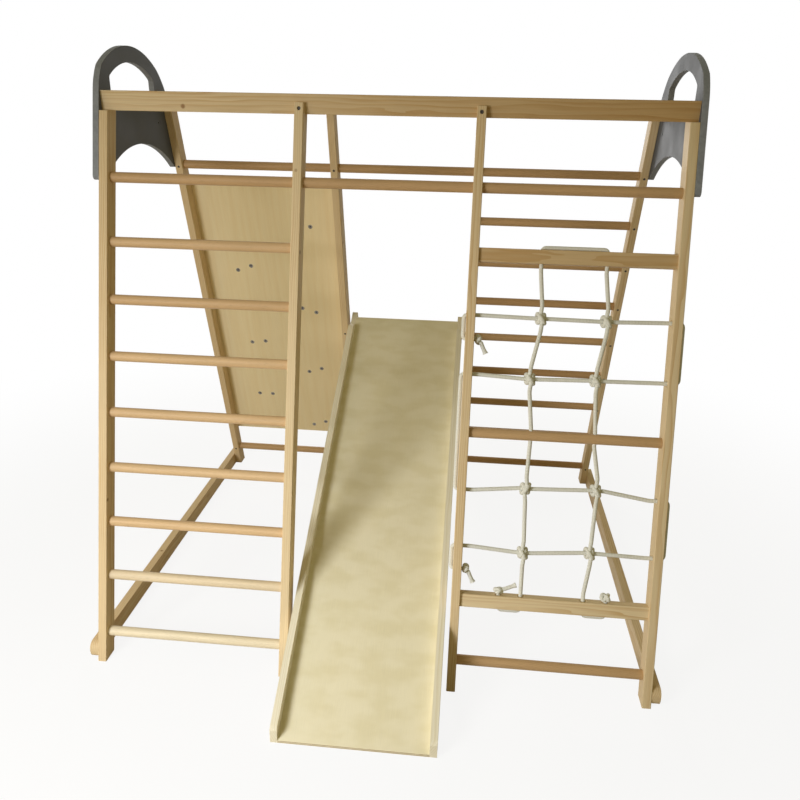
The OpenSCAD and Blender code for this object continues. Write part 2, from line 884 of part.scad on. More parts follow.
// Shoulders under a flatter crown, cut level at the feet, with a low arch between them
module bracket_plate() {
    offset(r = bracket_round, $fn = 48) offset(delta = -bracket_round) difference() {
        intersection() {
            bracket_shoulders();
            translate(crown) circle(crown_r, $fn = 192);
            translate([front_y, foot_z]) square([base_d, far]);
        }
        translate([bracket_mid, foot_z + arch_h - arch_r]) circle(arch_r, $fn = 192);
        hand_hole();
    }
}

module bracket(start) {
    color(grey) difference() {
        along_width(start, bracket_t) bracket_plate();
        side_bolt_holes();
        translate([0, spare_hole[0], spare_hole[1]]) dowel(spare_hole_d, start - 1, start + bracket_t + 1);
    }
}

module left_bracket() {
    bracket(-half_w - bracket_t);
}

module right_bracket() {
    bracket(half_w);
}

// Floor rails on the outer faces of the feet

module floor_rail(start) {
    length = base_d - rail_set + rail_over;
    color(pine) difference() {
        along_width(start, rail_t) translate([front_y + rail_set, 0]) union() {
            translate([0, rail_round]) square([length, rail_h - 2 * rail_round]);
            translate([rail_round, 0]) square([length - 2 * rail_round, rail_h]);
            for (y = [rail_round, length - rail_round], z = [rail_round, rail_h - rail_round])
                translate([y, z]) circle(rail_round);
        }
        side_bolt_holes();
    }
}

module left_floor_rail() {
    floor_rail(-half_w - rail_t);
}

module right_floor_rail() {
    floor_rail(half_w);
}

module frame_bolts() {
    color(steel) {
        for (b = side_bolts(), side = [0, 180]) translate([0, b[0], b[1]]) rotate([0, side, 0])
            translate([-half_w - b[2], 0, 0]) frame_bolt(b[2] + b[3]);
        for (x = [-1, 1] * (mid_x + post_w / 2)) {
            translate([x, front_bar_y - counterbore_depth, lap_bolt_z]) lap_bolt(90);
            translate([x, rear_bar_y + bar_t + counterbore_depth, lap_bolt_z]) lap_bolt(-90);
        }
    }
}

// Bolt sunk in a lap, pointing along the given turn about z from +x
module lap_bolt(turn) {
    rotate([0, 0, turn]) rotate([0, 90, 0]) difference() {
        union() {
            translate([0, 0, -bolt_head_h]) cylinder(d = sunk_head_d, h = bolt_head_h);
            cylinder(d = bolt_d, h = lap_bolt_len);
        }
        translate([0, 0, -bolt_head_h - 1])
            cylinder(d = bolt_socket_d, h = bolt_socket_depth + 1, $fn = 6);
    }
}

// Slide, in its own frame

module slide_bed() {
    color(ply) intersection() {
        slide_frame() difference() {
            translate([-bed_w / 2, bed_over - 2 * slide_len, bed_lift - bed_t])
                cube([bed_w, 2 * slide_len, bed_t]);
            slide_screw_set(fit);
        }
        slide_room();
    }
}

// Room above the floor and behind the toe
module slide_room() {
    translate([-far / 2, toe_y, 0]) cube([far, far, far]);
}

// Side line of a slide rail: shoulder, tip and hook at the top, round nose at the toe
module slide_rail_line() {
    offset(r = rail_round_end, $fn = 32) offset(delta = -rail_round_end) {
        translate([shoulder_u - rail_rise, bed_lift]) circle(rail_rise, $fn = 96);
        translate([-slide_len + rail_rise, bed_lift]) circle(rail_rise, $fn = 96);
        translate([-slide_len + rail_rise, bed_lift - rail_rise])
            square([slide_len + shoulder_u - 2 * rail_rise, 2 * rail_rise]);
        translate([-slide_len - rail_rise, rail_low]) square([slide_len + rail_rise + tip_over, rail_drop]);
        circle(hook_r, $fn = 96);
    }
}

module slide_rail(start) {
    color(pine) intersection() {
        slide_frame() difference() {
            along_width(start, slide_rail_t) slide_rail_line();
            dowel(rung_d + 2 * hook_fit, -slide_w, slide_w);
            translate([-slide_w, -rung_d / 2 - hook_fit, -2 * hook_r])
                cube([2 * slide_w, rung_d + 2 * hook_fit, 2 * hook_r]);
            slide_screw_set(fit);
        }
        slide_room();
    }
}

module slide_left_rail() {
    slide_rail(-slide_w / 2);
}

module slide_right_rail() {
    slide_rail(slide_w / 2 - slide_rail_t);
}

// Screws through the rails into the edges of the bed
module slide_screw_set(room = 0) {
    step = (slide_len - 2 * slide_screw_margin) / (slide_screw_steps - 1);
    for (side = [-1, 1], k = [0 : slide_screw_steps - 1])
        translate([side * slide_w / 2, -slide_screw_margin - k * step, bed_lift - bed_t / 2])
            rotate([0, 0, side * 90]) wood_screw(slide_screw_len, room);
}

module slide_screws() {
    color(steel) slide_frame() slide_screw_set();
}

// Nodes

front_left_post();
front_mid_left_post();
front_mid_right_post();
front_right_post();
rear_left_post();
rear_mid_left_post();
rear_mid_right_post();
rear_right_post();
front_top_bar();
rear_top_bar();
front_rung(1, 0, 3);  // front_top_rung
rear_rung(1, 0, 3);  // rear_top_rung
for (i = ladder_levels) front_rung(i, 0, 1);
for (i = rear_rung_levels) rear_rung(i, 2, 3);
rear_rung(mid_level, 1, 3);  // slide_crossbar
rear_rung(low_rung, 0, 1);  // wall_bottom_rung
net_top_board();
net_mid_rung();
net_bottom_board();
front_rung(low_rung, 2, 3);  // net_bottom_rung
net_row_rope();
net_column_rope();
net_knots();
rope_stoppers();
climbing_wall();
for (i = [1 : len(hold_places)])
    climbing_hold(i - 1);
hold_bolts();
hold_tee_nuts();
wall_screws();
rung_screws();
left_bracket();
right_bracket();
left_floor_rail();
right_floor_rail();
frame_bolts();
slide_bed();
slide_left_rail();
slide_right_rail();
slide_screws();
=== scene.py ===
import math
import random

import bmesh
import bpy
import numpy as np
from mathutils import Matrix, Vector


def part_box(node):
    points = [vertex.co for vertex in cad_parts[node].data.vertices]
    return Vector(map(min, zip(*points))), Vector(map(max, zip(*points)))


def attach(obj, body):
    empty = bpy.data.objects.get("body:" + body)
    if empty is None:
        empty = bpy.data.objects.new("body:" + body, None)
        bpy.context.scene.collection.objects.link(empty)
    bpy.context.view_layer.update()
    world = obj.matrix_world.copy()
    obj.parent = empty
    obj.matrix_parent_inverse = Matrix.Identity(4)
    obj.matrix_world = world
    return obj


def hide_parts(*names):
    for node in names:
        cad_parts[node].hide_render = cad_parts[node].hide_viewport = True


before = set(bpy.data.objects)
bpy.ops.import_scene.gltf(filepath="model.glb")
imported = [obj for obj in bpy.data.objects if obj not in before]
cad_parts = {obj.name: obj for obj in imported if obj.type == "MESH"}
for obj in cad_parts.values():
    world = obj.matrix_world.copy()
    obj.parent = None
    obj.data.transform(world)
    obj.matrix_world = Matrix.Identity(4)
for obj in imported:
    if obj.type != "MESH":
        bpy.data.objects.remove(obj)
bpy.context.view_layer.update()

bl_info = {
    "name": "Wooden climbing frame",
    "version": (1, 0, 0),
    "blender": (4, 5, 0),
    "location": "View3D > Sidebar > Climbing frame",
    "description": "Timber, rope net, climbing wall and slide on the packed solids of a climbing frame",
    "category": "Object",
}

MM = 0.001
WHITE = (1, 1, 1, 1)

# Lean of the panels and pitch of the slide, as the solids have them
FRONT_LEAN = math.radians(15.4)
REAR_LEAN = math.radians(17.2)
SLIDE_PITCH = math.radians(29.586)
FRONT_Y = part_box("front_left_post")[0].y


def leaning(angle):
    """Grain axes of an upright piece that leans back by an angle."""
    rise, run = math.cos(angle), math.sin(angle)
    return (0, run, rise), (1, 0, 0), (0, rise, -run)


def sloping(angle):
    """Grain axes of a flat piece that rises to the back at an angle."""
    rise, run = math.sin(angle), math.cos(angle)
    return (0, run, rise), (1, 0, 0), (0, -rise, run)


# Grain axes of each way a piece lies: along the fibres, across them, and the third way
FRONT_UP, REAR_UP = leaning(FRONT_LEAN), leaning(-REAR_LEAN)
WIDTH = ((1, 0, 0), (0, 1, 0), (0, 0, 1))
LENGTH = ((0, 1, 0), (0, 0, 1), (1, 0, 0))
SLOPE = sloping(SLIDE_PITCH)
SLOPE_SIDE = (SLOPE[0], SLOPE[2], SLOPE[1])


# Values

def linear(code):
    """Turns an sRGB hex code into the linear colour that a shader takes."""
    parts = [int(code[i:i + 2], 16) / 255 for i in (1, 3, 5)]
    return tuple(p / 12.92 if p <= 0.04045 else ((p + 0.055) / 1.055) ** 2.4 for p in parts)


def tone(name, description, code):
    """A colour property whose default is written as an sRGB hex code."""
    return bpy.props.FloatVectorProperty(
        name=name, description=description, subtype="COLOR", size=3, min=0, max=1, default=linear(code)
    )


def number(name, description, default, **kind):
    """A number property of some kind."""
    return bpy.props.FloatProperty(name=name, description=description, default=default, **kind)


def span(name, description, default):
    """A length property in metres."""
    return number(name, description, default, unit="LENGTH", min=0)


class TimberFinish(bpy.types.PropertyGroup):
    """Colours and grain of the wood, plywood and paint"""

    pine_pale: tone("Pine", "Pale early wood of the planed pine", "#E9D5B0")
    pine_ring: tone("Pine rings", "Amber late wood of the pine", "#CFAA74")
    pine_knot: tone("Pine knots", "Small knots of the pine", "#8A5E36")
    # The palest beech is painted light on the low rungs of the ladder
    beech_lit: tone("Pale beech", "Palest rungs, low on the ladder", "#EFE2C6")
    beech: tone("Beech", "Turned rungs", "#DFBF94")
    beech_brown: tone("Brown beech", "Brownest rungs, at the back", "#A9804F")
    rail_pale: tone("Slide rails", "Pale early wood of the slide's rails", "#F4EEDA")
    rail_ring: tone("Slide rail rings", "Late wood of the slide's rails", "#DFD3AE")
    wall_pale: tone("Wall plywood", "Face veneer of the climbing wall", "#FCEDC6")
    wall_figure: tone("Wall figure", "Darker figure of the wall's veneer", "#EDD49C")
    bed_pale: tone("Bed plywood", "Face veneer of the slide's bed", "#F3ECD0")
    # Part of the bed's darker figure is a painted sheen across the slide
    bed_figure_and_sheen: tone("Bed figure", "Darker figure of the bed's veneer", "#DCD1A2")
    ply_core: tone("Plywood core", "Dark plies in a cut edge", "#8E6B3F")
    grey: tone("Bracket paint", "Grey paint of the brackets", "#606369")
    # The lighter edge colour is a painted highlight, with some wear
    grey_sheen_and_wear: tone("Bracket edge", "Paint rubbed lighter on rounded edges", "#B4BAC4")
    ring_gap: span("Ring spacing", "Distance between the growth rings of the pine", 4.5 * MM)
    bracket_round: span("Bracket edge radius", "Rounding of the bracket's edges", 4.5 * MM)
    slide_round: span("Slide edge radius", "Rounding of the slide rails' edges", 3.0 * MM)
    wall_round: span("Wall edge radius", "Rounding of the climbing wall's edges", 1.0 * MM)


class NetFinish(bpy.types.PropertyGroup):
    """Rope of the climbing net"""

    rope: tone("Rope", "Crowns of the braid", "#F3F4EE")
    groove: tone("Rope grooves", "Shaded grooves of the braid", "#CDD0C8")
    rope_d: span("Rope diameter", "Diameter over the braid", 10 * MM)
    braid: span("Braid", "Length of one diamond of the braid", 5 * MM)
    braid_depth: span("Braid depth", "Depth of the grooves between the yarns", 0.5 * MM)
    step: span("Rope step", "Distance between the rings of the rope's mesh", 1.5 * MM)


class FittingFinish(bpy.types.PropertyGroup):
    """Screws, bolts and climbing holds"""

    # The dark steel is darker than plain steel, as painted shade of the screws' recesses
    dark_shaded: tone("Dark steel", "Blackened screws and bolts", "#565049")
    dark_shaded_dull: tone("Dull dark steel", "Dull patches of the blackened steel", "#38332D")
    # The zinc is darkened too, as painted shade of the tee nuts' recessed holes
    zinc_shaded: tone("Zinc", "Plated tee nuts in the wall", "#A19B90")
    zinc_shaded_dull: tone("Dull zinc", "Dull patches of the plating", "#6A655D")
    hold_a: tone("Hold colour one", "First colour of the climbing holds", "#B8402E")
    hold_b: tone("Hold colour two", "Second colour of the climbing holds", "#D9A62A")
    hold_c: tone("Hold colour three", "Third colour of the climbing holds", "#3C7A4B")
    hold_d: tone("Hold colour four", "Fourth colour of the climbing holds", "#2F5F96")
    screw_head: span("Screw head", "Diameter of a wood screw's head", 7 * MM)
    screw_d: span("Screw", "Diameter of a wood screw", 3.5 * MM)
    bolt_head: span("Bolt head", "Diameter of a frame bolt's head", 13 * MM)
    hold_head: span("Hold bolt head", "Diameter of a climbing hold's bolt head", 12 * MM)
    bolt_d: span("Bolt", "Diameter of a bolt", 6 * MM)
    flange: span("Tee nut flange", "Diameter of a tee nut's flange", 14 * MM)


class StageFinish(bpy.types.PropertyGroup):
    """Floor, lamps and camera"""

    floor: tone("Floor", "Plain pale floor", "#F4F4F2")
    bounce: tone("Floor bounce", "Light that the floor gives back to the object", "#B2A892")
    floor_size: span("Floor size", "Side of the floor", 40.0)
    camera_at: bpy.props.FloatVectorProperty(
        name="Camera", description="Place of the camera", subtype="TRANSLATION", unit="LENGTH", size=3,
        default=(0.20434, -1.94861, 1.33743),
    )
    yaw: number("Camera yaw", "Turn of the camera to the left", 0.09159, subtype="ANGLE")
    pitch: number("Camera pitch", "Tilt of the camera", -0.37383, subtype="ANGLE")
    roll: number("Camera roll", "Roll of the camera", 0.02016, subtype="ANGLE")
    lens: number("Lens", "Focal length on a 36 mm sensor", 32.937, subtype="DISTANCE_CAMERA")
    key: number("Key lamp", "Power of the lamp at the front left", 15.0, unit="POWER")
    side: number("Side lamp", "Power of the broad lamp at the left", 10.0, unit="POWER")
    side_tone: tone("Side lamp tone", "Colour of the broad lamp", "#FFE1AE")
    back: number("Back lamp", "Power of the lamp behind the object", 36.0, unit="POWER")
    sky: number("Room light", "Strength of the even light of the room", 0.235, min=0)
    room: tone("Room tone", "Colour of the room's warm light", "#FFEEA8")


# Node trees

# Sockets of a Mix node that mixes colours
FACTOR, FIRST, SECOND = 0, 6, 7
# What most of a noise lies between
REACH = (0.3, 0.7)
# What the brownest board's colour is multiplied by
BROWNED = (0.62, 0.46, 0.26, 1)


def add(tree, kind, inputs=(), **settings):
    """Adds a node with its settings, and sets or links its inputs, which come by name or in their order.
    A kind without a family is of the tree's own, and a node as input stands for its first output in use."""
    node = tree.nodes.new(kind if "Node" in kind else tree.bl_idname.removesuffix("Tree") + kind)
    for field, value in settings.items():
        setattr(node, field, value)
    for key, value in inputs.items() if isinstance(inputs, dict) else enumerate(inputs):
        if isinstance(value, bpy.types.Node):
            value = next(socket for socket in value.outputs if socket.enabled)
        if isinstance(value, bpy.types.NodeSocket):
            tree.links.new(value, node.inputs[key])
        else:
            node.inputs[key].default_value = value
    return node


def emptied(holder):
    """The node tree of a material or a world, with nothing in it."""
    holder.use_nodes = True
    holder.node_tree.nodes.clear()
    return holder.node_tree


def begun(name, *attributes):
    """A new material, its tree, and the attributes that it reads: a place in the grain, or numbers."""
    material = bpy.data.materials.new(name)
    tree = emptied(material)
    read = []
    for attribute in attributes:
        node = add(tree, "Attribute", attribute_name=attribute)
        read.append(node.outputs["Vector" if attribute == "grain" else "Fac"])
    return material, tree, *read


def surfaced(material, shader, relief=None):
    """Ends a material's tree with a shader, and with bumps: a pattern, a strength and a depth in metres."""
    tree = material.node_tree
    if relief:
        shader["Normal"] = add(tree, "Bump", dict(zip(("Height", "Strength", "Distance"), relief)))
    add(tree, "OutputMaterial", (add(tree, "BsdfPrincipled", shader),))
    return material


def coated(material, colour, gloss, rough, relief):
    """Ends a material of coated wood: its gloss, a pattern and two ends of roughness, and bumps."""
    pattern, *ends = rough
    roughness = add(material.node_tree, "MapRange", (pattern, *REACH, *ends))
    shader = {"Base Color": colour, "Roughness": roughness, "IOR": 1.5, "Specular IOR Level": gloss}
    return surfaced(material, shader, relief)


def rgba(colour):
    """A colour property as the four numbers that a socket takes."""
    return (*colour, 1.0)


def spots(tree, size, detail, roughness=0.5):
    """Noise on the object itself, with spots of about so many millimetres."""
    place = add(tree, "TexCoord").outputs["Object"]
    scale = 1 / (size * MM)
    return add(tree, "TexNoise", {"Vector": place, "Scale": scale, "Detail": detail, "Roughness": roughness})


def drawn_out(tree, grain, sizes, detail, roughness=0.5):
    """Noise in the grain, with spots of about so many millimetres along the fibres and both ways across."""
    place = add(tree, "VectorMath", (grain, [1 / size for size in sizes]), operation="MULTIPLY")
    return add(tree, "TexNoise", {"Vector": place, "Scale": 1, "Detail": detail, "Roughness": roughness})


def shaded(tree, colour, pattern, shades, reach=REACH):
    """A colour times a shade that goes from one end to the other while a pattern goes over its reach."""
    shade = add(tree, "MapRange", (pattern, *reach, *shades))
    both = {FACTOR: 1.0, FIRST: colour, SECOND: shade}
    return add(tree, "Mix", both, data_type="RGBA", blend_type="MULTIPLY")


def patched(tree, first, second, pattern, reach, most=1.0, **settings):
    """A colour that turns into another, at most so far, while a pattern goes over its reach."""
    share = add(tree, "MapRange", (pattern, *reach, 0, most), **settings)
    return add(tree, "Mix", {FACTOR: share, FIRST: rgba(first), SECOND: rgba(second)}, data_type="RGBA")


def planed_pine(finish, name, pale, ring):
    """Planed and sanded pine under thin matt lacquer: pale wood, darker rings, few small knots."""
    material, tree, grain, tint = begun(name, "grain", "tint")
    # Rings round the pith, 4.5 mm apart: the texture's ring is 0.314 units wide at scale 1
    slow = add(tree, "VectorMath", (grain, (0.1, 1, 1)), operation="MULTIPLY")
    scale = 0.314 / (finish.ring_gap / MM)
    wave = {"Vector": slow, "Scale": scale, "Distortion": 11, "Detail": 2, "Detail Scale": 0.45}
    rings = add(tree, "TexWave", wave, wave_type="RINGS", rings_direction="X", wave_profile="SAW")
    late = add(tree, "MapRange", (rings.outputs["Fac"], 0.35, 0.93, 0, 1))
    # Fibres about a millimetre wide and a hand long
    fibre = drawn_out(tree, grain, (83.33, 1.111, 1.111), 3, 0.6)
    # Patches about as wide as the board and a quarter of a metre long
    patch = drawn_out(tree, grain, (250, 33.33, 33.33), 1)
    strength = add(tree, "MapRange", (patch, *REACH, 0.2, 0.7))
    amber = add(tree, "Math", (late, strength), operation="MULTIPLY")
    wood = add(tree, "Mix", {FACTOR: amber, FIRST: rgba(pale), SECOND: rgba(ring)}, data_type="RGBA")
    wood = shaded(tree, wood, fibre, (0.93, 1.05))
    # Each board's tone, from brown over plain to pale; along the front top bar it is painted shade, darker to
    # the right
    tone_and_shade = add(tree, "Mix", {FACTOR: tint, FIRST: BROWNED, SECOND: WHITE}, data_type="RGBA")
    wood = add(tree, "Mix", {FACTOR: 1.0, FIRST: wood, SECOND: tone_and_shade}, data_type="RGBA", blend_type="MULTIPLY")
    # Knots: one cell in three of a 90 mm grid holds a knot of some 9 mm
    cells = add(tree, "TexVoronoi", {"Vector": grain, "Scale": 1 / 90, "Randomness": 1})
    near = add(tree, "MapRange", (cells, 0.035, 0.075, 0.75, 0))
    chosen = add(tree, "SeparateColor", (cells.outputs["Color"],))
    some = add(tree, "Math", (chosen, 0.66), operation="GREATER_THAN")
    knot = add(tree, "Math", (near, some), operation="MULTIPLY")
    wood = add(tree, "Mix", {FACTOR: knot, FIRST: wood, SECOND: rgba(finish.pine_knot)}, data_type="RGBA")
    raised = add(tree, "Math", (late, fibre), operation="ADD")
    return coated(material, wood, 0.08, (fibre, 0.58, 0.46), (raised, 0.25, 0.15 * MM))


def turned_beech(finish):
    """Turned and sanded beech, clear-lacquered: even pinkish tan with short dark rays along the grain."""
    material, tree, grain, tint = begun("turned_beech", "grain", "tint")
    # Rays about 1 mm wide and 12 mm long, drawn that coarse so that they show
    rays = drawn_out(tree, grain, (11.765, 1, 1), 2)
    # Broad bands along the dowel
    bands = drawn_out(tree, grain, (166.7, 8.333, 8.333), 2)
    # Each dowel's tone, from brown over tan to pale; the palest, on the low ladder rungs, is painted light
    tone_and_light = add(tree, "ValToRGB", (tint,))
    tone_and_light.color_ramp.elements.new(0.5)
    for stop, colour in zip(tone_and_light.color_ramp.elements, (finish.beech_brown, finish.beech, finish.beech_lit)):
        stop.color = rgba(colour)
    wood = shaded(tree, tone_and_light, rays, (1, 0.86), (0.55, 0.72))
    wood = shaded(tree, wood, bands, (0.92, 1.05))
    return coated(material, wood, 0.18, (rays, 0.4, 0.5), (rays, 0.2, 0.1 * MM))


def birch_plywood(finish, name, veneer, cloud, most):
    """Birch plywood, sanded and lacquered: rotary-cut veneer in two colours, whose soft clouds are so many
    millimetres long and wide and at most so strong, and dark and pale plies in its edges."""
    material, tree, grain, edge = begun(name, "grain", "edge")
    figure = drawn_out(tree, grain, (*cloud, math.inf), 2, 0.45)
    # Fibres about a millimetre wide and 50 mm long
    fibre = drawn_out(tree, grain, (50, 0.9091, 0.9091), 3, 0.6)
    face = patched(tree, *veneer, figure, (0.35, 0.68), most, interpolation_type="SMOOTHSTEP")
    face = shaded(tree, face, fibre, (0.96, 1.03))
    # Plies 1.5 mm thick, so a pale and a dark one every 3 mm
    depth = add(tree, "SeparateXYZ", (grain,)).outputs["Z"]
    turn = add(tree, "Math", (depth, 2 * math.pi / 3), operation="MULTIPLY")
    wave = add(tree, "Math", (turn,), operation="SINE")
    cut = patched(tree, veneer[0], finish.ply_core, wave, (-0.3, 0.3), 0.75)
    wood = add(tree, "Mix", {FACTOR: edge, FIRST: face, SECOND: cut}, data_type="RGBA")
    return coated(material, wood, 0.12, (fibre, 0.5, 0.4), (fibre, 0.2, 0.1 * MM))


def grey_paint(finish):
    """Matt grey paint rolled on plywood: slight orange peel, and lighter along the rounded edges with a
    painted highlight and wear.
    """
    material, tree, worn = begun("grey_paint", "worn")
    # Roller stipple of about 2 mm, clouds of about 60 mm, and patches of about 9 mm in the painted highlight
    # and wear
    stipple = spots(tree, 2, 2)
    cloud = spots(tree, 60, 3)
    sheen_and_wear_patches = spots(tree, 9, 4, 0.65)
    patchy = add(tree, "MapRange", (sheen_and_wear_patches, 0.35, 0.65, 0.7, 1))
    sheen_and_wear_share = add(tree, "Math", (worn, patchy), operation="MULTIPLY")
    # Painted highlight with wear: the paint turns lighter along the rims
    coat = patched(tree, finish.grey, finish.grey_sheen_and_wear, sheen_and_wear_share, (0, 1))
    coat = shaded(tree, coat, cloud, (0.92, 1.08))
    return coated(material, coat, 0.14, (cloud, 0.55, 0.65), (stipple, 0.15, 0.1 * MM))


def braided_cotton(finish):
    """Braided cotton rope: off-white yarns that cross in small diamonds, with shaded grooves between them."""
    material, tree, crown, run = begun("braided_cotton", "crown", "run")
    # Yarns about 1.2 mm wide
    yarn = spots(tree, 1.2, 2, 0.6)
    # Soiling that changes along the rope every 80 mm or so
    along = add(tree, "CombineXYZ", (run,))
    soil = add(tree, "TexNoise", {"Vector": along, "Scale": 1 / (80 * MM), "Detail": 2})
    cotton = patched(tree, finish.groove, finish.rope, crown, (0.05, 0.55))
    cotton = shaded(tree, cotton, yarn, (0.9, 1.04))
    cotton = shaded(tree, cotton, soil, (0.94, 1.02))
    shader = {"Base Color": cotton, "Roughness": 0.85, "IOR": 1.46, "Specular IOR Level": 0.25}
    shader["Sheen Weight"] = 0.2
    return surfaced(material, shader, (yarn, 0.5, 0.3 * MM))


def dulled_steel(name, bright, dull):
    """Steel dulled by handling: metal with darker patches."""
    material, tree = begun(name)
    # Patches of about 3 mm
    patch = spots(tree, 3, 3)
    metal = patched(tree, bright, dull, patch, (0.35, 0.65))
    rough = add(tree, "MapRange", (patch, 0.35, 0.65, 0.32, 0.5))
    return surfaced(material, {"Base Color": metal, "Roughness": rough, "Metallic": 1.0})


def cast_resin(name, colour):
    """Cast resin with sand in it: matt, grippy, speckled a little lighter and darker."""
    material, tree = begun(name)
    place = add(tree, "TexCoord").outputs["Object"]
    # Sand of about 1 mm, and cloudy colour of about 25 mm
    sand = add(tree, "TexVoronoi", {"Vector": place, "Scale": 1 / (1.1 * MM)})
    cloud = spots(tree, 25, 3)
    cast = shaded(tree, rgba(colour), sand, (1.1, 0.82), (0.1, 0.8))
    cast = shaded(tree, cast, cloud, (0.88, 1.08))
    shader = {"Base Color": cast, "Roughness": 0.72, "IOR": 1.5, "Specular IOR Level": 0.35}
    return surfaced(material, shader, (sand, 0.35, 0.4 * MM))


# Dressing of the solids

MERGE = 1e-6
FLAT = math.radians(0.4)
SHARP = math.radians(34)
# A rim lies between a wall and a side of a plate, as their faces lean, and is longer than a bolt hole's
WALL_LEAN, SIDE_LEAN, LONG_RIM = 0.3, 0.95, 0.12
# Faces that lean less are a plate's edge
EDGE_LEAN = 0.5
# Painted highlight and wear of a rounded rim, and of the edge between two of them
RIM_SHEEN_AND_WEAR, EDGE_SHEEN_AND_WEAR = 1.6, 0.55
# Shift of the grain from board to board, in millimetres, and tones of plain boards
GRAIN_SHIFT = 900
PLAIN_TONES = (0.84, 0.97)
chance = random.Random(11)


def put(name, data):
    """A new object at the origin, in the scene."""
    piece = bpy.data.objects.new(name, data)
    bpy.context.scene.collection.objects.link(piece)
    return piece


def hanging_together(items, neighbours):
    """Items in groups whose members are neighbours of each other."""
    left, groups = dict.fromkeys(items), []
    while left:
        front, group = [left.popitem()[0]], []
        while front:
            group.append(front.pop())
            for other in neighbours(group[-1]):
                if other in left:
                    del left[other]
                    front.append(other)
        groups.append(group)
    return groups


def merged(node):
    """A CAD node's mesh as a bmesh with its doubles merged."""
    shape = bmesh.new()
    shape.from_mesh(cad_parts[node].data)
    bmesh.ops.remove_doubles(shape, verts=shape.verts, dist=MERGE)
    return shape


def rims(shape, side):
    """Edges between the flat sides of a plate and its walls, without the ones of bolt holes."""
    across = Vector(side)
    rim = []
    for edge in shape.edges:
        if len(edge.link_faces) == 2:
            low, high = sorted(abs(face.normal.dot(across)) for face in edge.link_faces)
            if low < WALL_LEAN and high > SIDE_LEAN:
                rim.append(edge)
    loops = hanging_together(rim, lambda edge: [other for vert in edge.verts for other in vert.link_edges])
    return [edge for loop in loops if sum(e.calc_length() for e in loop) > LONG_RIM for edge in loop]


def finish_mesh(shape, name):
    """Turns a bmesh into a mesh with smooth faces and sharp creases."""
    for face in shape.faces:
        face.smooth = True
    for edge in shape.edges:
        edge.smooth = len(edge.link_faces) == 2 and edge.calc_face_angle(math.pi) < SHARP
    mesh = bpy.data.meshes.new(name)
    shape.to_mesh(mesh)
    shape.free()
    return mesh


def settle(piece):
    """Applies a piece's modifiers, so that a plain mesh is left."""
    depsgraph = bpy.context.evaluated_depsgraph_get()
    mesh = bpy.data.meshes.new_from_object(
        piece.evaluated_get(depsgraph), preserve_all_data_layers=True, depsgraph=depsgraph
    )
    old = piece.data
    piece.modifiers.clear()
    piece.data = mesh
    mesh.name = piece.name
    bpy.data.meshes.remove(old)


def mark(mesh, name, values, domain="POINT"):
    """Writes a number or a vector for each point or face of a mesh."""
    values = np.asarray(values, np.float32)
    kind, field = ("FLOAT", "value") if values.ndim == 1 else ("FLOAT_VECTOR", "vector")
    mesh.attributes.new(name, kind, domain).data.foreach_set(field, values.ravel())


def lay_grain(mesh, axes, pith=(0.0, 0.0), tones=None):
    """Writes where each point lies along and across the fibres, in millimetres from the pith, and the piece's
    tint, which is random unless it is given, as one number or as one for each end."""
    points = np.empty(len(mesh.vertices) * 3)
    mesh.vertices.foreach_get("co", points)
    points = points.reshape(-1, 3) / MM
    grain = (points - points.mean(0)) @ np.array(axes).T
    along = np.interp(grain[:, 0], (grain[:, 0].min(), grain[:, 0].max()), (0, 1))
    mark(mesh, "grain", grain + (chance.uniform(-GRAIN_SHIFT, GRAIN_SHIFT), *pith))
    first, last = np.broadcast_to(chance.uniform(*PLAIN_TONES) if tones is None else tones, 2)
    # A tint that changes from one end to the other paints shade along the piece
    mark(mesh, "tint", first + (last - first) * along)


def face_leans(mesh, across):
    """How far each face of a plate looks across it: 1 on its two sides, and 0 on its edge."""
    normals = np.empty(len(mesh.polygons) * 3)
    mesh.polygons.foreach_get("normal", normals)
    return np.abs(normals.reshape(-1, 3) @ np.array(across))


def mark_edges(mesh, across):
    """Writes 1 on the cut edges of a plate and 0 on its two sides."""
    mark(mesh, "edge", face_leans(mesh, across) < EDGE_LEAN, "FACE")


def mark_sheen_and_wear(mesh, across):
    """Writes how far the paint of a plate is lightened by a painted highlight and wear: not on its sides, and
    most on its rounded rims.
    """
    lean = face_leans(mesh, across)
    worn = RIM_SHEEN_AND_WEAR * np.minimum(lean, 1 - lean) + EDGE_SHEEN_AND_WEAR * (lean < EDGE_LEAN)
    mark(mesh, "worn", np.clip(worn, 0, 1), "FACE")


def dressed(node, material, rounding=0.0, side=(1, 0, 0), segments=4):
    """A finished copy of a CAD node: flat faces whole, rims rounded where asked, smooth where it is round."""
    shape = merged(node)
    bmesh.ops.dissolve_limit(shape, angle_limit=FLAT, verts=shape.verts, edges=shape.edges)
    if rounding:
        bmesh.ops.bevel(
            shape, geom=rims(shape, side), offset=rounding, offset_type="OFFSET", segments=segments,
            profile=0.5, affect="EDGES", clamp_overlap=True,
        )
    name = node + "_finished"
    piece = put(name, finish_mesh(shape, name))
    piece.data.materials.append(material)
    piece.modifiers.new("flat_faces", "WEIGHTED_NORMAL").keep_sharp = True
    settle(piece)
    return piece


def stand_for(piece, body, slot, *nodes):
    """Gives a piece its body and hides the CAD nodes that it stands for; the slot is not used."""
    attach(piece, body)
    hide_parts(*nodes)


def pith_near(inner, outer):
    """A pith at a random side of the piece, between two distances in millimetres."""
    turn, distance = chance.uniform(0, 2 * math.pi), chance.uniform(inner, outer)
    return distance * math.cos(turn), distance * math.sin(turn)


# Timber and plywood

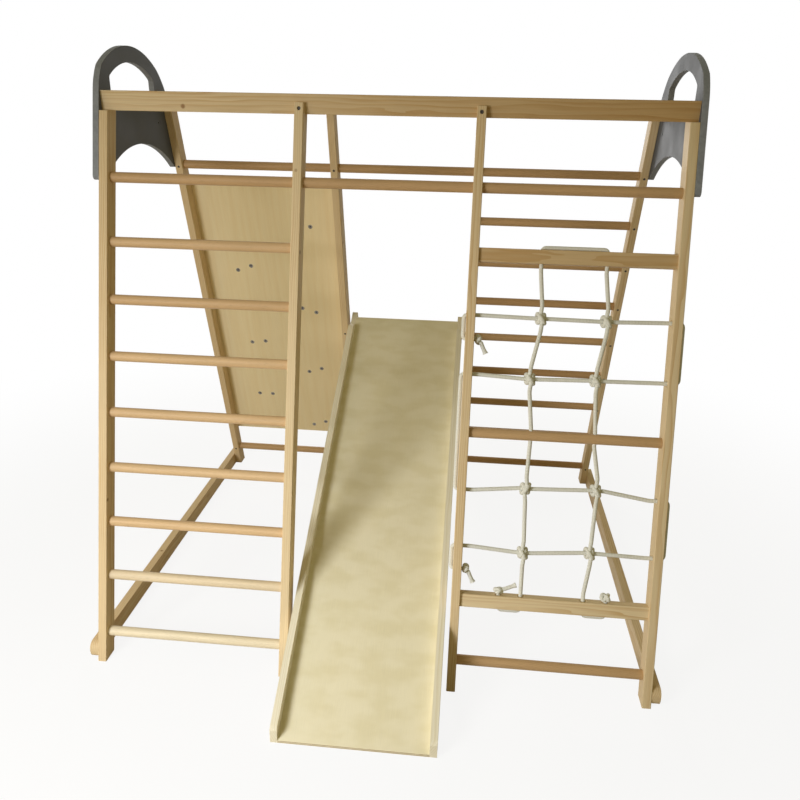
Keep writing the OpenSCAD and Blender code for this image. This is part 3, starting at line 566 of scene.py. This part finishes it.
POST_PLACES = ("left", "mid_left", "mid_right", "right")
TIMBER = (
    [(f"front_{place}_post", FRONT_UP) for place in POST_PLACES]
    + [(f"rear_{place}_post", REAR_UP) for place in POST_PLACES]
    + [(name, WIDTH) for name in ("front_top_bar", "rear_top_bar", "net_top_board", "net_bottom_board")]
    + [(name, LENGTH) for name in ("left_floor_rail", "right_floor_rail")]
)
# Tone of a board from 0, brown, to 1, pale, where it isn't a plain one: the top bar darkens to the right,
# which is painted shade
BOARD_TONES = {
    "front_left_post": 0.85, "front_mid_left_post": 1.0, "front_mid_right_post": 0.86,
    "front_right_post": 1.0, "front_top_bar": (0.95, 0.2), "rear_top_bar": 0.3,
    "net_top_board": 0.5, "net_bottom_board": 1.0,
}
RUNGS = ["slide_crossbar"]
RUNGS += [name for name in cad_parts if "rung_" in name + "_" and "screw" not in name]

# Tone of a dowel from 0, brown, over 0.5, tan, to 1, pale: the low rungs of the ladder are the palest, which
# is painted light
LADDER_LIGHT_TONES = {2: 0.42, 3: 0.36, 4: 0.45, 5: 0.48, 6: 0.52, 7: 0.5, 8: 0.85, 9: 1.0}
REAR_TONES = (0.14, 0.28)
OTHER_TONE = 0.28
HOLDS = 7


def rung_tone(node):
    """Tone of one dowel."""
    family, _, place = node.rpartition("_")
    if family == "ladder_rung":
        # Ladder rungs get painted light by their level
        return LADDER_LIGHT_TONES[int(place)]
    if family == "rear_rung":
        return chance.uniform(*REAR_TONES)
    return OTHER_TONE


class CLIMBFRAME_OT_timber(bpy.types.Operator):
    """Dress the posts, top bars, net boards and floor rails as planed pine"""

    bl_idname = "climbframe.timber"
    bl_label = "Timber"

    def execute(self, context):
        finish = context.scene.climbing_timber
        material = planed_pine(finish, "planed_pine", finish.pine_pale, finish.pine_ring)
        for node, axes in TIMBER:
            piece = dressed(node, material)
            lay_grain(piece.data, axes, pith_near(25, 70), BOARD_TONES.get(node))
            stand_for(piece, "frame", "pine", node)
        return {"FINISHED"}


class CLIMBFRAME_OT_rungs(bpy.types.Operator):
    """Dress the rungs and the slide's crossbar as turned beech"""

    bl_idname = "climbframe.rungs"
    bl_label = "Rungs"

    def execute(self, context):
        material = turned_beech(context.scene.climbing_timber)
        for node in sorted(RUNGS):
            piece = dressed(node, material)
            lay_grain(piece.data, WIDTH, pith_near(20, 60), rung_tone(node))
            stand_for(piece, "frame", "beech_rung", node)
        return {"FINISHED"}


class CLIMBFRAME_OT_brackets(bpy.types.Operator):
    """Dress the two arched brackets with rounded edges and grey paint"""

    bl_idname = "climbframe.brackets"
    bl_label = "Brackets"

    def execute(self, context):
        finish = context.scene.climbing_timber
        material = grey_paint(finish)
        for node in ("left_bracket", "right_bracket"):
            piece = dressed(node, material, finish.bracket_round)
            # Its rims get a painted highlight with wear
            mark_sheen_and_wear(piece.data, (1, 0, 0))
            stand_for(piece, "frame", "grey_paint", node)
        return {"FINISHED"}


class CLIMBFRAME_OT_wall(bpy.types.Operator):
    """Dress the climbing wall as lacquered plywood"""

    bl_idname = "climbframe.wall"
    bl_label = "Climbing wall"

    def execute(self, context):
        finish = context.scene.climbing_timber
        veneer = finish.wall_pale, finish.wall_figure
        streaked = birch_plywood(finish, "streaked_plywood", veneer, (320, 16), 0.22)
        piece = dressed("climbing_wall", streaked, finish.wall_round, REAR_UP[2], 2)
        mark_edges(piece.data, REAR_UP[2])
        lay_grain(piece.data, REAR_UP)
        stand_for(piece, "frame", "plywood", "climbing_wall")
        return {"FINISHED"}


class CLIMBFRAME_OT_slide(bpy.types.Operator):
    """Dress the slide's bed as plywood and its rails as pine with rounded edges"""

    bl_idname = "climbframe.slide"
    bl_label = "Slide"

    def execute(self, context):
        finish = context.scene.climbing_timber
        veneer = finish.bed_pale, finish.bed_figure_and_sheen
        # The bed's clouds, longer across the slide than along it, are the veneer's figure and a painted sheen
        mottled = birch_plywood(finish, "mottled_plywood", veneer, (40, 80), 0.35)
        bed = dressed("slide_bed", mottled)
        mark_edges(bed.data, SLOPE[2])
        lay_grain(bed.data, SLOPE)
        stand_for(bed, "slide", "plywood", "slide_bed")
        pine = planed_pine(finish, "pale_pine", finish.rail_pale, finish.rail_ring)
        for node in ("slide_left_rail", "slide_right_rail"):
            rail = dressed(node, pine, finish.slide_round)
            lay_grain(rail.data, SLOPE_SIDE, pith_near(40, 90), 1.0)
            stand_for(rail, "slide", "pine", node)
        return {"FINISHED"}


class CLIMBFRAME_OT_holds(bpy.types.Operator):
    """Dress the seven climbing holds as cast resin in four colours"""

    bl_idname = "climbframe.holds"
    bl_label = "Climbing holds"

    def execute(self, context):
        finish = context.scene.climbing_fittings
        casts = [cast_resin("cast_resin_" + letter, getattr(finish, "hold_" + letter)) for letter in "abcd"]
        for place in range(HOLDS):
            node = f"climbing_hold_{place + 1}"
            stand_for(dressed(node, casts[place % len(casts)]), "frame", "hold_plastic", node)
        return {"FINISHED"}


# Rope net, in the front panel's own measures: across, up the posts, and into them, in millimetres

MID_LEVEL = 650
NET_LEFT, NET_RIGHT = 224.0, 678.0
COLUMNS = (371.333, 522.667)
ROWS = (932, 791, 509, 368)
# How far each crossing has moved, across and up
WANDER = (((7, -2), (8, -3)), ((-10, -5), (-7, -2)), ((-4, 11), (12, 16)), ((-1, -8), (8, 2)))
MIRRORED = (2, 0)
ROPE_DEPTH = 22.5
ROW_LEFT, ROW_RIGHT = 196.7, 705.3
ROW_ENDS = (874.0, 310.0)
COLUMN_ENDS = (317.333, 576.667)
TOP_BOARD, BOTTOM_BOARD, BOARD_HALF = 1073.0, 234.0, 16.5
BOARD_TOP = BOTTOM_BOARD + BOARD_HALF
ROPE_LAY = 5.3
STRAIGHT = 18.0
# Bends: their reach, the turns that need none, and the turn of one step
BEND, SLIGHT, BEND_STEP = 10.0, math.radians(12), math.radians(15)
FLOW_STEPS = 6
# Steps of the route, and how often it is softened
SAMPLE, SOFTENED = 1.6, 3
# Frayed ends: how many steps they take and how much wider they get
FRAY, FRAY_SWELL = 6, 0.4
# Stoppers: distance from wood, how far rope sits in its hole, steps of a knot's turn, and the steps used
STOPPER_OFF, SUNK, KNOT_TURN, KNOT_STEPS = 10.0, 2.0, 24, 22
# Half width and half thickness of the stoppers
ROW_KNOT, FIRST_KNOT, LAST_KNOT = (9.2, 4.2), (9.2, 3.4), (9.6, 6.0)
# Tails of the stoppers, across from the post or the hole and up
ROW_TAIL = ((16, -6), (21, -17), (29, -33))
FIRST_TAIL, LAST_TAIL = ((8, 13), (22, 18), (42, 27)), ((1, 15), (2, 19))
RIGHT, UPWARD, INWARD = Vector((1, 0, 0)), Vector((0, 1, 0)), Vector((0, 0, 1))
ROPE_SIDES = 32
# Yarns that wind each way round the rope
YARNS = 4

# Half of a hitch, from above to the middle of the band over its front: across, up, behind the row
HALF_HITCH = (
    (0, 30, -10.5), (-1.5, 16, -10), (-3, 4, -9), (-4, -5, -8), (-6, -10, -1), (-8, -8, 7), (-9, 0, 10.4),
    (-9, 8, 7), (-8.6, 11, -1), (-6, 8.4, -10), (0, 0, -15.5),
)


def on_front(across, up, depth):
    """A point of the front panel, from millimetres in its own measures to metres in the frame."""
    return Vector((
        across * MM,
        FRONT_Y + (up * math.sin(FRONT_LEAN) + depth * math.cos(FRONT_LEAN)) * MM,
        (up * math.cos(FRONT_LEAN) - depth * math.sin(FRONT_LEAN)) * MM,
    ))


def in_net(across, up):
    """A point in the middle of the net."""
    return Vector((across, up, ROPE_DEPTH))


def loose(*places):
    """Points of a route in the net whose corners are to be made round."""
    return [(in_net(across, up), False) for across, up in places]


def corner(before, at, after):
    """Points of a round corner on a route."""
    inward, outward = (at - before).normalized(), (after - at).normalized()
    turn = inward.angle(outward)
    if turn < SLIGHT:
        return [at]
    reach = BEND * math.tan(turn / 2)
    start, end = at - reach * inward, at + reach * outward
    steps = math.ceil(turn / BEND_STEP)
    parts = [k / steps for k in range(steps + 1)]
    return [(1 - t) ** 2 * start + 2 * t * (1 - t) * at + t ** 2 * end for t in parts]


def rounded(route):
    """A route of points, each marked as tight or not, with its corners made round where it isn't tight."""
    points = [route[0][0]]
    for (before, _), (at, tight), (after, _) in zip(route, route[1:], route[2:]):
        points += [at] if tight else corner(before, at, after)
    return points + [route[-1][0]]


def flowing(points):
    """A smooth curve through points, as a list of closer points."""
    ends = [points[0], *points, points[-1]]
    curve = []
    for a, b, c, d in zip(ends, ends[1:], ends[2:], ends[3:]):
        for t in (k / FLOW_STEPS for k in range(FLOW_STEPS)):
            bend = (2 * a - 5 * b + 4 * c - d) * t ** 2 + (3 * b - a - 3 * c + d) * t ** 3
            curve.append(b + ((c - a) * t + bend) / 2)
    return curve + [points[-1]]


def overhand(hole, ways, knot, tail, off=STOPPER_OFF):
    """An overhand knot off a hole, by the way its rope comes, its lobes' two ways, its size and its tail."""
    out, first, second = ways
    size, flat = knot
    centre = hole + out * off
    lobes = []
    for k in range(KNOT_STEPS):
        t = 2 * math.pi * k / KNOT_TURN
        lobes.append(
            centre + first * (size * (math.sin(t) + 2 * math.sin(2 * t)) / 3)
            + second * (size * (math.cos(t) - 2 * math.cos(2 * t)) / 3) - out * (flat * math.sin(3 * t))
        )
    ends = [in_net(hole.x + across, hole.y + up) for across, up in tail]
    return flowing([centre - out * STOPPER_OFF, *lobes, *ends])


def hitch(across, up, mirror):
    """Column rope round a row, from below: round it on one side, over its own front, round the other."""
    half = [Vector((x * mirror, rise, depth)) for x, rise, depth in HALF_HITCH]
    other = [Vector((-p.x, -p.y, p.z)) for p in half[-2::-1]]
    return [in_net(across, up) + p for p in flowing(half + other)][::-1]


def knot_at(row, column):
    """Place of a crossing, across and up."""
    along, rise = WANDER[row][column]
    return COLUMNS[column] + along, ROWS[row] + rise


def even(points):
    """A route in even steps, softened a little."""
    points = np.array([tuple(p) for p in points])
    gaps = np.linalg.norm(np.diff(points, axis=0), axis=1)
    points = points[np.concatenate(([True], gaps > MERGE))]
    run = np.concatenate(([0], np.cumsum(np.linalg.norm(np.diff(points, axis=0), axis=1))))
    at = np.linspace(0, run[-1], int(run[-1] / SAMPLE) + 1)
    points = np.stack([np.interp(at, run, points[:, i]) for i in range(3)], axis=1)
    for _ in range(SOFTENED):
        points[1:-1] = (points[:-2] + 2 * points[1:-1] + points[2:]) / 4
    return points


def row_route():
    """Row rope: from its first stopper through the posts, row by row, to its last stopper."""
    route = []
    for row, level in enumerate(ROWS):
        run = loose((ROW_LEFT, level), (NET_LEFT + STRAIGHT, level))
        for column in (0, 1):
            across, up = knot_at(row, column)
            run += loose((across - STRAIGHT, up), (across + STRAIGHT, up))
        run += loose((NET_RIGHT - STRAIGHT, level), (ROW_RIGHT, level))
        route += run if row % 2 == 0 else run[::-1]
    start, end = [loose((NET_LEFT - SUNK, up), (ROW_LEFT, up)) for up in ROW_ENDS]
    first, last = [
        overhand(in_net(NET_LEFT, up), (RIGHT, UPWARD, INWARD), ROW_KNOT, ROW_TAIL) for up in ROW_ENDS
    ]
    return even(first[::-1] + rounded(start + route + end[::-1]) + last)


def column_route():
    """Column rope: through the bottom board, up one column, over the top board and down the other."""
    low, high = BOTTOM_BOARD - BOARD_HALF - ROPE_LAY, TOP_BOARD + BOARD_HALF + ROPE_LAY
    columns = []
    for column, across in enumerate(COLUMNS):
        climb = loose((across, low), (across, BOARD_TOP + STRAIGHT))
        # The rows from below, and None for the middle rung
        for row in (3, 2, None, 1, 0):
            if row is None:
                climb += loose((across, MID_LEVEL - STRAIGHT), (across, MID_LEVEL + STRAIGHT))
            else:
                mirror = -1 if (row, column) == MIRRORED else 1
                climb += [(p, True) for p in hitch(*knot_at(row, column), mirror)]
        columns.append(climb + loose((across, TOP_BOARD - BOARD_HALF - STRAIGHT), (across, high)))
    start, end = [loose((across, BOARD_TOP - SUNK), (across, low)) for across in COLUMN_ENDS]
    left, right = [in_net(across, BOARD_TOP) for across in COLUMN_ENDS]
    first = overhand(left, (UPWARD, RIGHT, INWARD), FIRST_KNOT, FIRST_TAIL)
    last = overhand(right, (UPWARD, INWARD, RIGHT), LAST_KNOT, LAST_TAIL, STOPPER_OFF + SUNK)
    return even(first[::-1] + rounded(start + columns[0] + columns[1][::-1] + end[::-1]) + last)


def geometry_tree(name, output, inputs):
    """A new tree for geometry with its named inputs and its output; gives it and its inputs."""
    tree = bpy.data.node_groups.new(name, "GeometryNodeTree")
    for label, kind in inputs.items():
        tree.interface.new_socket(name=label, in_out="INPUT", socket_type="NodeSocket" + kind)
    tree.interface.new_socket(name=output, in_out="OUTPUT", socket_type="NodeSocketGeometry")
    return tree, add(tree, "NodeGroupInput").outputs


def end_tree(tree, geometry, material):
    """Ends a tree with plain geometry in its material."""
    whole = add(tree, "RealizeInstances", {"Geometry": geometry})
    add(tree, "NodeGroupOutput", (add(tree, "SetMaterial", {"Geometry": whole, "Material": material}),))
    return tree


def grow(piece, tree, values):
    """Runs a tree on a piece, with its named inputs set by their identifiers, and leaves a plain mesh."""
    modifier = piece.modifiers.new(tree.name, "NODES")
    modifier.node_group = tree
    for item in tree.interface.items_tree:
        if item.in_out == "INPUT" and item.name in values:
            modifier[item.identifier] = values[item.name]
    settle(piece)
    if not piece.data.polygons:
        raise RuntimeError("no faces grew on " + piece.name)


def rope_tree():
    """Node tree that sweeps a round section along a line and presses the grooves of a braid into it."""
    tree, given = geometry_tree("braided_rope", "Rope", {
        "Line": "Geometry", "Rope radius": "Float", "Braid length": "Float", "Braid depth": "Float",
        "Step": "Float", "Rope finish": "Material",
    })
    line = add(tree, "MeshToCurve", {"Mesh": given["Line"]})
    line = add(tree, "ResampleCurve", {"Curve": line, "Length": given["Step"]}, mode="LENGTH")
    circle = {"Resolution": ROPE_SIDES, "Radius": given["Rope radius"]}
    section = add(tree, "CurvePrimitiveCircle", circle, mode="RADIUS")
    spline = add(tree, "SplineParameter").outputs
    line, section = [
        add(
            tree, "StoreNamedAttribute", {"Geometry": curve, "Name": name, "Value": spline[value]},
            data_type="FLOAT", domain="POINT",
        )
        for curve, name, value in ((line, "run", "Length"), (section, "round", "Factor"))
    ]
    swell, run, part = [
        add(tree, "InputNamedAttribute", {"Name": name}, data_type="FLOAT")
        for name in ("swell", "run", "round")
    ]
    sweep = {"Curve": line, "Profile Curve": section, "Scale": swell, "Fill Caps": True}
    rope = add(tree, "CurveToMesh", sweep)
    # The yarns wind both ways, and the crown of a diamond lies where neither family has its groove
    around = add(tree, "ShaderNodeMath", (part, 2 * math.pi * YARNS), operation="MULTIPLY")
    diamonds = add(tree, "ShaderNodeMath", (run, given["Braid length"]), operation="DIVIDE")
    along = add(tree, "ShaderNodeMath", (diamonds, math.pi), operation="MULTIPLY")
    waves = []
    for way in ("ADD", "SUBTRACT"):
        wave = add(tree, "ShaderNodeMath", (around, along), operation=way)
        waves.append(add(tree, "ShaderNodeMath", (wave,), operation="SINE"))
    crown = add(tree, "ShaderNodeMath", waves, operation="MULTIPLY")
    for step in ("ABSOLUTE", "SQRT"):
        crown = add(tree, "ShaderNodeMath", (crown,), operation=step)
    rope = add(
        tree, "StoreNamedAttribute", {"Geometry": rope, "Name": "crown", "Value": crown},
        data_type="FLOAT", domain="POINT",
    )
    dip = add(tree, "ShaderNodeMath", (crown, 1.0), operation="SUBTRACT")
    dip = add(tree, "ShaderNodeMath", (dip, given["Braid depth"]), operation="MULTIPLY")
    normal = add(tree, "InputNormal")
    offset = add(tree, "ShaderNodeVectorMath", {0: normal, "Scale": dip}, operation="SCALE")
    rope = add(tree, "SetPosition", {"Geometry": rope, "Offset": offset})
    rope = add(tree, "SetShadeSmooth", {"Geometry": rope})
    return end_tree(tree, rope, given["Rope finish"])


def line_object(name, route, frayed):
    """An object with edges along a route in the front panel's measures, and how far its ends swell."""
    points = [on_front(*p) for p in route]
    mesh = bpy.data.meshes.new(name)
    mesh.from_pydata(points, [(i, i + 1) for i in range(len(points) - 1)], [])
    swell = np.ones(len(points), np.float32)
    brush = 1 + FRAY_SWELL * np.linspace(1, 0, FRAY, dtype=np.float32)
    if frayed[0]:
        swell[:FRAY] = brush
    if frayed[1]:
        swell[-FRAY:] = brush[::-1]
    mark(mesh, "swell", swell)
    return put(name, mesh)


class CLIMBFRAME_OT_net(bpy.types.Operator):
    """Lay the net's two ropes, with their hitches and stopper knots, along the routes of the solids"""

    bl_idname = "climbframe.net"
    bl_label = "Rope net"

    def execute(self, context):
        finish = context.scene.climbing_net
        cotton = braided_cotton(finish)
        tree = rope_tree()
        for name, route, frayed, nodes in (
            ("net_rows_laid", row_route(), (True, True), ("net_row_rope", "rope_stoppers")),
            ("net_columns_laid", column_route(), (True, False), ("net_column_rope", "net_knots")),
        ):
            piece = line_object(name, route, frayed)
            grow(piece, tree, {
                "Rope radius": finish.rope_d / 2, "Braid length": finish.braid,
                "Braid depth": finish.braid_depth, "Step": finish.step, "Rope finish": cotton,
            })
            stand_for(piece, "frame", "rope", *nodes)
        return {"FINISHED"}


# Fasteners, in millimetres as the solids have them

HEAD_SIDES = 18
SCREW_HEAD_H = 2.5
BOLT_HEAD_H = 4.0
HOLD_HEAD_H = 6.0
HOLD_BOLT_SHORT = 2.0
# Tee nut: how deep its barrel is, how thick its flange, the barrel's radius and the room round the bolt
BARREL_H, FLANGE_T, BARREL_R, NUT_PLAY = 10, 1.2, 4.5, 0.1
SOCKET_RINGS = 2


def loose_solids(node):
    """The points of each loose solid of a CAD node, in metres."""
    shape = merged(node)
    groups = hanging_together(shape.verts, lambda vert: [edge.other_vert(vert) for edge in vert.link_edges])
    solids = [np.array([tuple(vert.co) for vert in group]) for group in groups]
    shape.free()
    return sorted(solids, key=lambda points: tuple(points.mean(0).round(4)))


def head_of(points):
    """Top of a fastener's head, the way it faces, and its length."""
    middle = points.mean(0)
    # The axis is the odd one of the three ways that the points spread
    spread, ways = np.linalg.eigh(np.cov((points - middle).T))
    odd = max(range(3), key=lambda i: min(abs(spread[i] - spread[j]) for j in range(3) if j != i))
    axis = ways[:, odd]
    along = (points - middle) @ axis
    off = np.linalg.norm(points - middle - np.outer(along, axis), axis=1)
    if along[off.argmax()] < (along.max() + along.min()) / 2:
        axis, along = -axis, -along
    return middle + axis * along.max(), axis, np.ptp(along)


def turned_head(name, rings, pierced=False):
    """A turned part from rings of radius and height in millimetres, pierced or with a hexagon socket."""
    shape = bmesh.new()
    turned = []
    for place, (radius, height) in enumerate(rings):
        loop = []
        for k in range(HEAD_SIDES):
            angle = 2 * math.pi * k / HEAD_SIDES
            reach = radius
            if place < SOCKET_RINGS and not pierced:
                reach *= math.cos(math.pi / 6) / math.cos(angle % (math.pi / 3) - math.pi / 6)
            at = Vector((math.cos(angle) * reach, math.sin(angle) * reach, height)) * MM
            loop.append(shape.verts.new(at))
        turned.append(loop)
    for inner, outer in zip(turned, turned[1:] + turned[:1] if pierced else turned[1:]):
        for k in range(HEAD_SIDES):
            n = (k + 1) % HEAD_SIDES
            shape.faces.new((inner[k], outer[k], outer[n], inner[n]))
    if not pierced:
        shape.faces.new(turned[0])
        shape.faces.new(turned[-1][::-1])
    bmesh.ops.recalc_face_normals(shape, faces=shape.faces)
    return put(name, finish_mesh(shape, name))


def socket_head(name, width, height):
    """Head of a bolt with a hexagon socket."""
    half = width / MM / 2
    return turned_head(name, (
        (2.4, -2.4), (2.5, 0), (half - 0.9, 0), (half - 0.2, -0.4), (half, -1.1), (half, -height),
    ))


def screw_head(finish):
    """Flat head of a wood screw, which runs down to its shank."""
    half, neck = finish.screw_head / MM / 2, finish.screw_d / MM / 2
    return turned_head("screw_head", (
        (1.0, -1.4), (1.35, 0), (half - 0.3, 0), (half, -0.15), (neck, -SCREW_HEAD_H),
    ))


def tee_nut(finish):
    """Tee nut: a flange and a barrel with a bore."""
    half, bore = finish.flange / MM / 2, finish.bolt_d / MM / 2 + NUT_PLAY
    return turned_head("tee_nut", (
        (bore, -BARREL_H), (bore, -0.5), (bore + 0.5, 0), (half - 0.4, 0), (half, -0.3), (half, -FLANGE_T),
        (BARREL_R, -FLANGE_T), (BARREL_R, -BARREL_H),
    ), True)


def fastener_tree():
    """Node tree that sets a head on each point, turned as it faces, with a shank as long as its reach."""
    tree, given = geometry_tree("fastener_row", "Fasteners", {
        "Places": "Geometry", "Head": "Object", "Shank radius": "Float", "Shank sides": "Int",
        "Steel finish": "Material",
    })
    facing, reach, neck = [
        add(tree, "InputNamedAttribute", {"Name": name}, data_type=kind)
        for name, kind in (("facing", "FLOAT_VECTOR"), ("reach", "FLOAT"), ("neck", "FLOAT"))
    ]
    turn = add(tree, "FunctionNodeAlignRotationToVector", {"Vector": facing}, axis="Z")
    head = add(tree, "ObjectInfo", {"Object": given["Head"]}).outputs["Geometry"]
    heads = add(tree, "InstanceOnPoints", {"Points": given["Places"], "Instance": head, "Rotation": turn})
    # The shank hangs one unit down from its top, and is stretched to its reach
    size = {"Vertices": given["Shank sides"], "Radius": given["Shank radius"], "Depth": 1.0}
    shank = add(tree, "MeshCylinder", size)
    shank = add(tree, "Transform", {"Geometry": shank, "Translation": (0, 0, -0.5)})
    stretch = add(tree, "ShaderNodeCombineXYZ", (1.0, 1.0, reach))
    long = add(tree, "FunctionNodeCompare", {"A": reach, "B": 0.1 * MM}, operation="GREATER_THAN")
    down = add(tree, "ShaderNodeVectorMath", {0: facing, "Scale": neck}, operation="SCALE")
    seats = add(tree, "SetPosition", {"Geometry": given["Places"], "Offset": down})
    shanks = add(
        tree, "InstanceOnPoints",
        {"Points": seats, "Selection": long, "Instance": shank, "Rotation": turn, "Scale": stretch},
    )
    both = add(tree, "JoinGeometry")
    for part in (heads, shanks):
        tree.links.new(part.outputs["Instances"], both.inputs["Geometry"])
    return end_tree(tree, both, given["Steel finish"])


class CLIMBFRAME_OT_fasteners(bpy.types.Operator):
    """Set the screws, bolts and tee nuts where the solids have them"""

    bl_idname = "climbframe.fasteners"
    bl_label = "Screws and bolts"

    def execute(self, context):
        finish = context.scene.climbing_fittings
        # Both steels are darkened as painted shade of the recesses that screws and tee nuts sit in
        shade_darkened = dulled_steel("blackened_steel", finish.dark_shaded, finish.dark_shaded_dull)
        shade_darkened_plated = dulled_steel("plated_steel", finish.zinc_shaded, finish.zinc_shaded_dull)
        tree = fastener_tree()
        screw = screw_head(finish)
        bolt = socket_head("bolt_head", finish.bolt_head, BOLT_HEAD_H)
        hold_bolt = socket_head("hold_bolt_head", finish.hold_head, HOLD_HEAD_H)
        nut = tee_nut(finish)
        # Node, body, head, shank's width, depth of the head, how much shorter the shank is, finish
        for node, body, head, width, deep, short, steel in (
            ("slide_screws", "slide", screw, finish.screw_d, SCREW_HEAD_H, 0, shade_darkened),
            ("rung_screws", "frame", screw, finish.screw_d, SCREW_HEAD_H, 0, shade_darkened),
            ("wall_screws", "frame", screw, finish.screw_d, SCREW_HEAD_H, 0, shade_darkened),
            ("frame_bolts", "frame", bolt, finish.bolt_d, BOLT_HEAD_H, 0, shade_darkened),
            ("hold_bolts", "frame", hold_bolt, finish.bolt_d, HOLD_HEAD_H, HOLD_BOLT_SHORT, shade_darkened),
            ("hold_tee_nuts", "frame", nut, 0, 0, 0, shade_darkened_plated),
        ):
            tops, facing, lengths = zip(*[head_of(points) for points in loose_solids(node)])
            mesh = bpy.data.meshes.new(node + "_set")
            mesh.from_pydata(tops, [], [])
            mark(mesh, "facing", facing)
            mark(mesh, "reach", [length - (deep + short) * MM if width else 0 for length in lengths])
            mark(mesh, "neck", [-deep * MM] * len(tops))
            piece = put(node + "_set", mesh)
            grow(piece, tree, {
                "Head": head, "Shank radius": width / 2, "Shank sides": HEAD_SIDES, "Steel finish": steel,
            })
            stand_for(piece, body, "steel", node)
        for head in (screw, bolt, hold_bolt, nut):
            bpy.data.objects.remove(head)
        return {"FINISHED"}


# Stage

SENSOR = 36
# Distances in metres where the floor starts to run into the background and where it has, and its least glow
FADE, LEAST_GLOW = (0.9, 2.6), 0.88


def seen_ray(tree):
    """1 where the camera sees a surface directly, in a mirror or through glass."""
    path = add(tree, "LightPath").outputs
    both = add(tree, "Math", (path["Is Camera Ray"], path["Is Glossy Ray"]), operation="MAXIMUM")
    return add(tree, "Math", (both, path["Is Transmission Ray"]), operation="MAXIMUM")


def floor_card(finish):
    """White card that keeps the object's shadow and runs into the white background."""
    material, tree = begun("studio_card")
    # To the object it is darker than to the camera, so that it gives little light back
    seen = seen_ray(tree)
    colour = patched(tree, finish.bounce, finish.floor, seen, (0, 1))
    card = add(tree, "BsdfDiffuse", {"Color": colour})
    glow = add(tree, "Emission", {"Color": WHITE, "Strength": 1.0})
    place = add(tree, "TexCoord").outputs["Object"]
    away = add(tree, "VectorMath", (place,), operation="LENGTH")
    fade = add(tree, "MapRange", (away, *FADE, LEAST_GLOW, 1.0), interpolation_type="SMOOTHSTEP")
    part = add(tree, "Math", (seen, fade), operation="MULTIPLY")
    add(tree, "OutputMaterial", (add(tree, "MixShader", (part, card, glow)),))
    return material


def photo_camera(finish):
    """The camera where the photograph was taken from."""
    camera = put("photo_camera", bpy.data.cameras.new("photo_camera"))
    camera.data.lens, camera.data.sensor_width = finish.lens, SENSOR
    place = Matrix.Translation(finish.camera_at)
    for angle, axis in ((finish.yaw, "Z"), (math.pi / 2 + finish.pitch, "X"), (finish.roll, "Z")):
        place @= Matrix.Rotation(angle, 4, axis)
    camera.matrix_world = place
    return camera


class CLIMBFRAME_OT_stage(bpy.types.Operator):
    """Make the floor, the lamps, the room's light and the camera"""

    bl_idname = "climbframe.stage"
    bl_label = "Stage"

    def execute(self, context):
        scene, finish = context.scene, context.scene.climbing_stage
        scene.view_settings.view_transform = "Standard"
        half = finish.floor_size / 2
        mesh = bpy.data.meshes.new("studio_floor")
        corners = [(-half, -half, 0), (half, -half, 0), (half, half, 0), (-half, half, 0)]
        mesh.from_pydata(corners, [], [(0, 1, 2, 3)])
        mesh.materials.append(floor_card(finish))
        floor = put("studio_floor", mesh)
        scene.world = bpy.data.worlds.new("studio_room")
        tree = emptied(scene.world)
        room = add(tree, "Background", {"Color": rgba(finish.room), "Strength": finish.sky})
        white = add(tree, "Background", {"Color": WHITE, "Strength": 1.0})
        mix = add(tree, "MixShader", (seen_ray(tree), room, white))
        add(tree, "OutputWorld", (mix,))
        # Name, place, aim, power, side, spread in degrees, colour
        for name, at, aim, power, side, spread, colour in (
            ("key_lamp", (-1.3, -2.15, 1.1), (-0.2, -0.7, 0.1), finish.key, 0.8, 110, WHITE[:3]),
            ("side_lamp", (-3.0, -1.6, 0.9), (0, 0, 0.5), finish.side, 1.8, 180, finish.side_tone),
            ("back_lamp", (-0.8, 3.4, 1.3), (0, 0, 0.5), finish.back, 1.0, 180, WHITE[:3]),
        ):
            lamp = bpy.data.lights.new(name, "AREA")
            lamp.energy, lamp.shape, lamp.size, lamp.color = power, "SQUARE", side, colour
            lamp.spread = math.radians(spread)
            holder = put(name, lamp)
            holder.location = at
            holder.rotation_euler = (Vector(aim) - Vector(at)).to_track_quat("-Z", "Y").to_euler()
        scene.camera = photo_camera(finish)
        return {"FINISHED"}


class CLIMBFRAME_PT_pieces(bpy.types.Panel):
    """Pieces of the climbing frame"""

    bl_label = "Climbing frame"
    bl_idname = "CLIMBFRAME_PT_pieces"
    bl_space_type = "VIEW_3D"
    bl_region_type = "UI"
    bl_category = "Climbing frame"

    def draw(self, context):
        for operator in OPERATORS:
            self.layout.operator(operator.bl_idname)
        for group in SETTINGS:
            finish = getattr(context.scene, group)
            for field in finish.bl_rna.properties:
                if field.identifier not in ("rna_type", "name"):
                    self.layout.prop(finish, field.identifier)


SETTINGS = {
    "climbing_timber": TimberFinish, "climbing_net": NetFinish,
    "climbing_fittings": FittingFinish, "climbing_stage": StageFinish,
}
OPERATORS = (
    CLIMBFRAME_OT_timber, CLIMBFRAME_OT_rungs, CLIMBFRAME_OT_brackets,
    CLIMBFRAME_OT_wall, CLIMBFRAME_OT_holds, CLIMBFRAME_OT_slide,
    CLIMBFRAME_OT_net, CLIMBFRAME_OT_fasteners, CLIMBFRAME_OT_stage,
)


def register():
    for group in (*SETTINGS.values(), *OPERATORS, CLIMBFRAME_PT_pieces):
        bpy.utils.register_class(group)
    for name, group in SETTINGS.items():
        setattr(bpy.types.Scene, name, bpy.props.PointerProperty(type=group))


def unregister():
    for name in SETTINGS:
        delattr(bpy.types.Scene, name)
    for group in (CLIMBFRAME_PT_pieces, *OPERATORS, *SETTINGS.values()):
        bpy.utils.unregister_class(group)


def main():
    register()
    for operator in OPERATORS:
        family, name = operator.bl_idname.split(".")
        getattr(getattr(bpy.ops, family), name)()


if __name__ == "__main__":
    main()
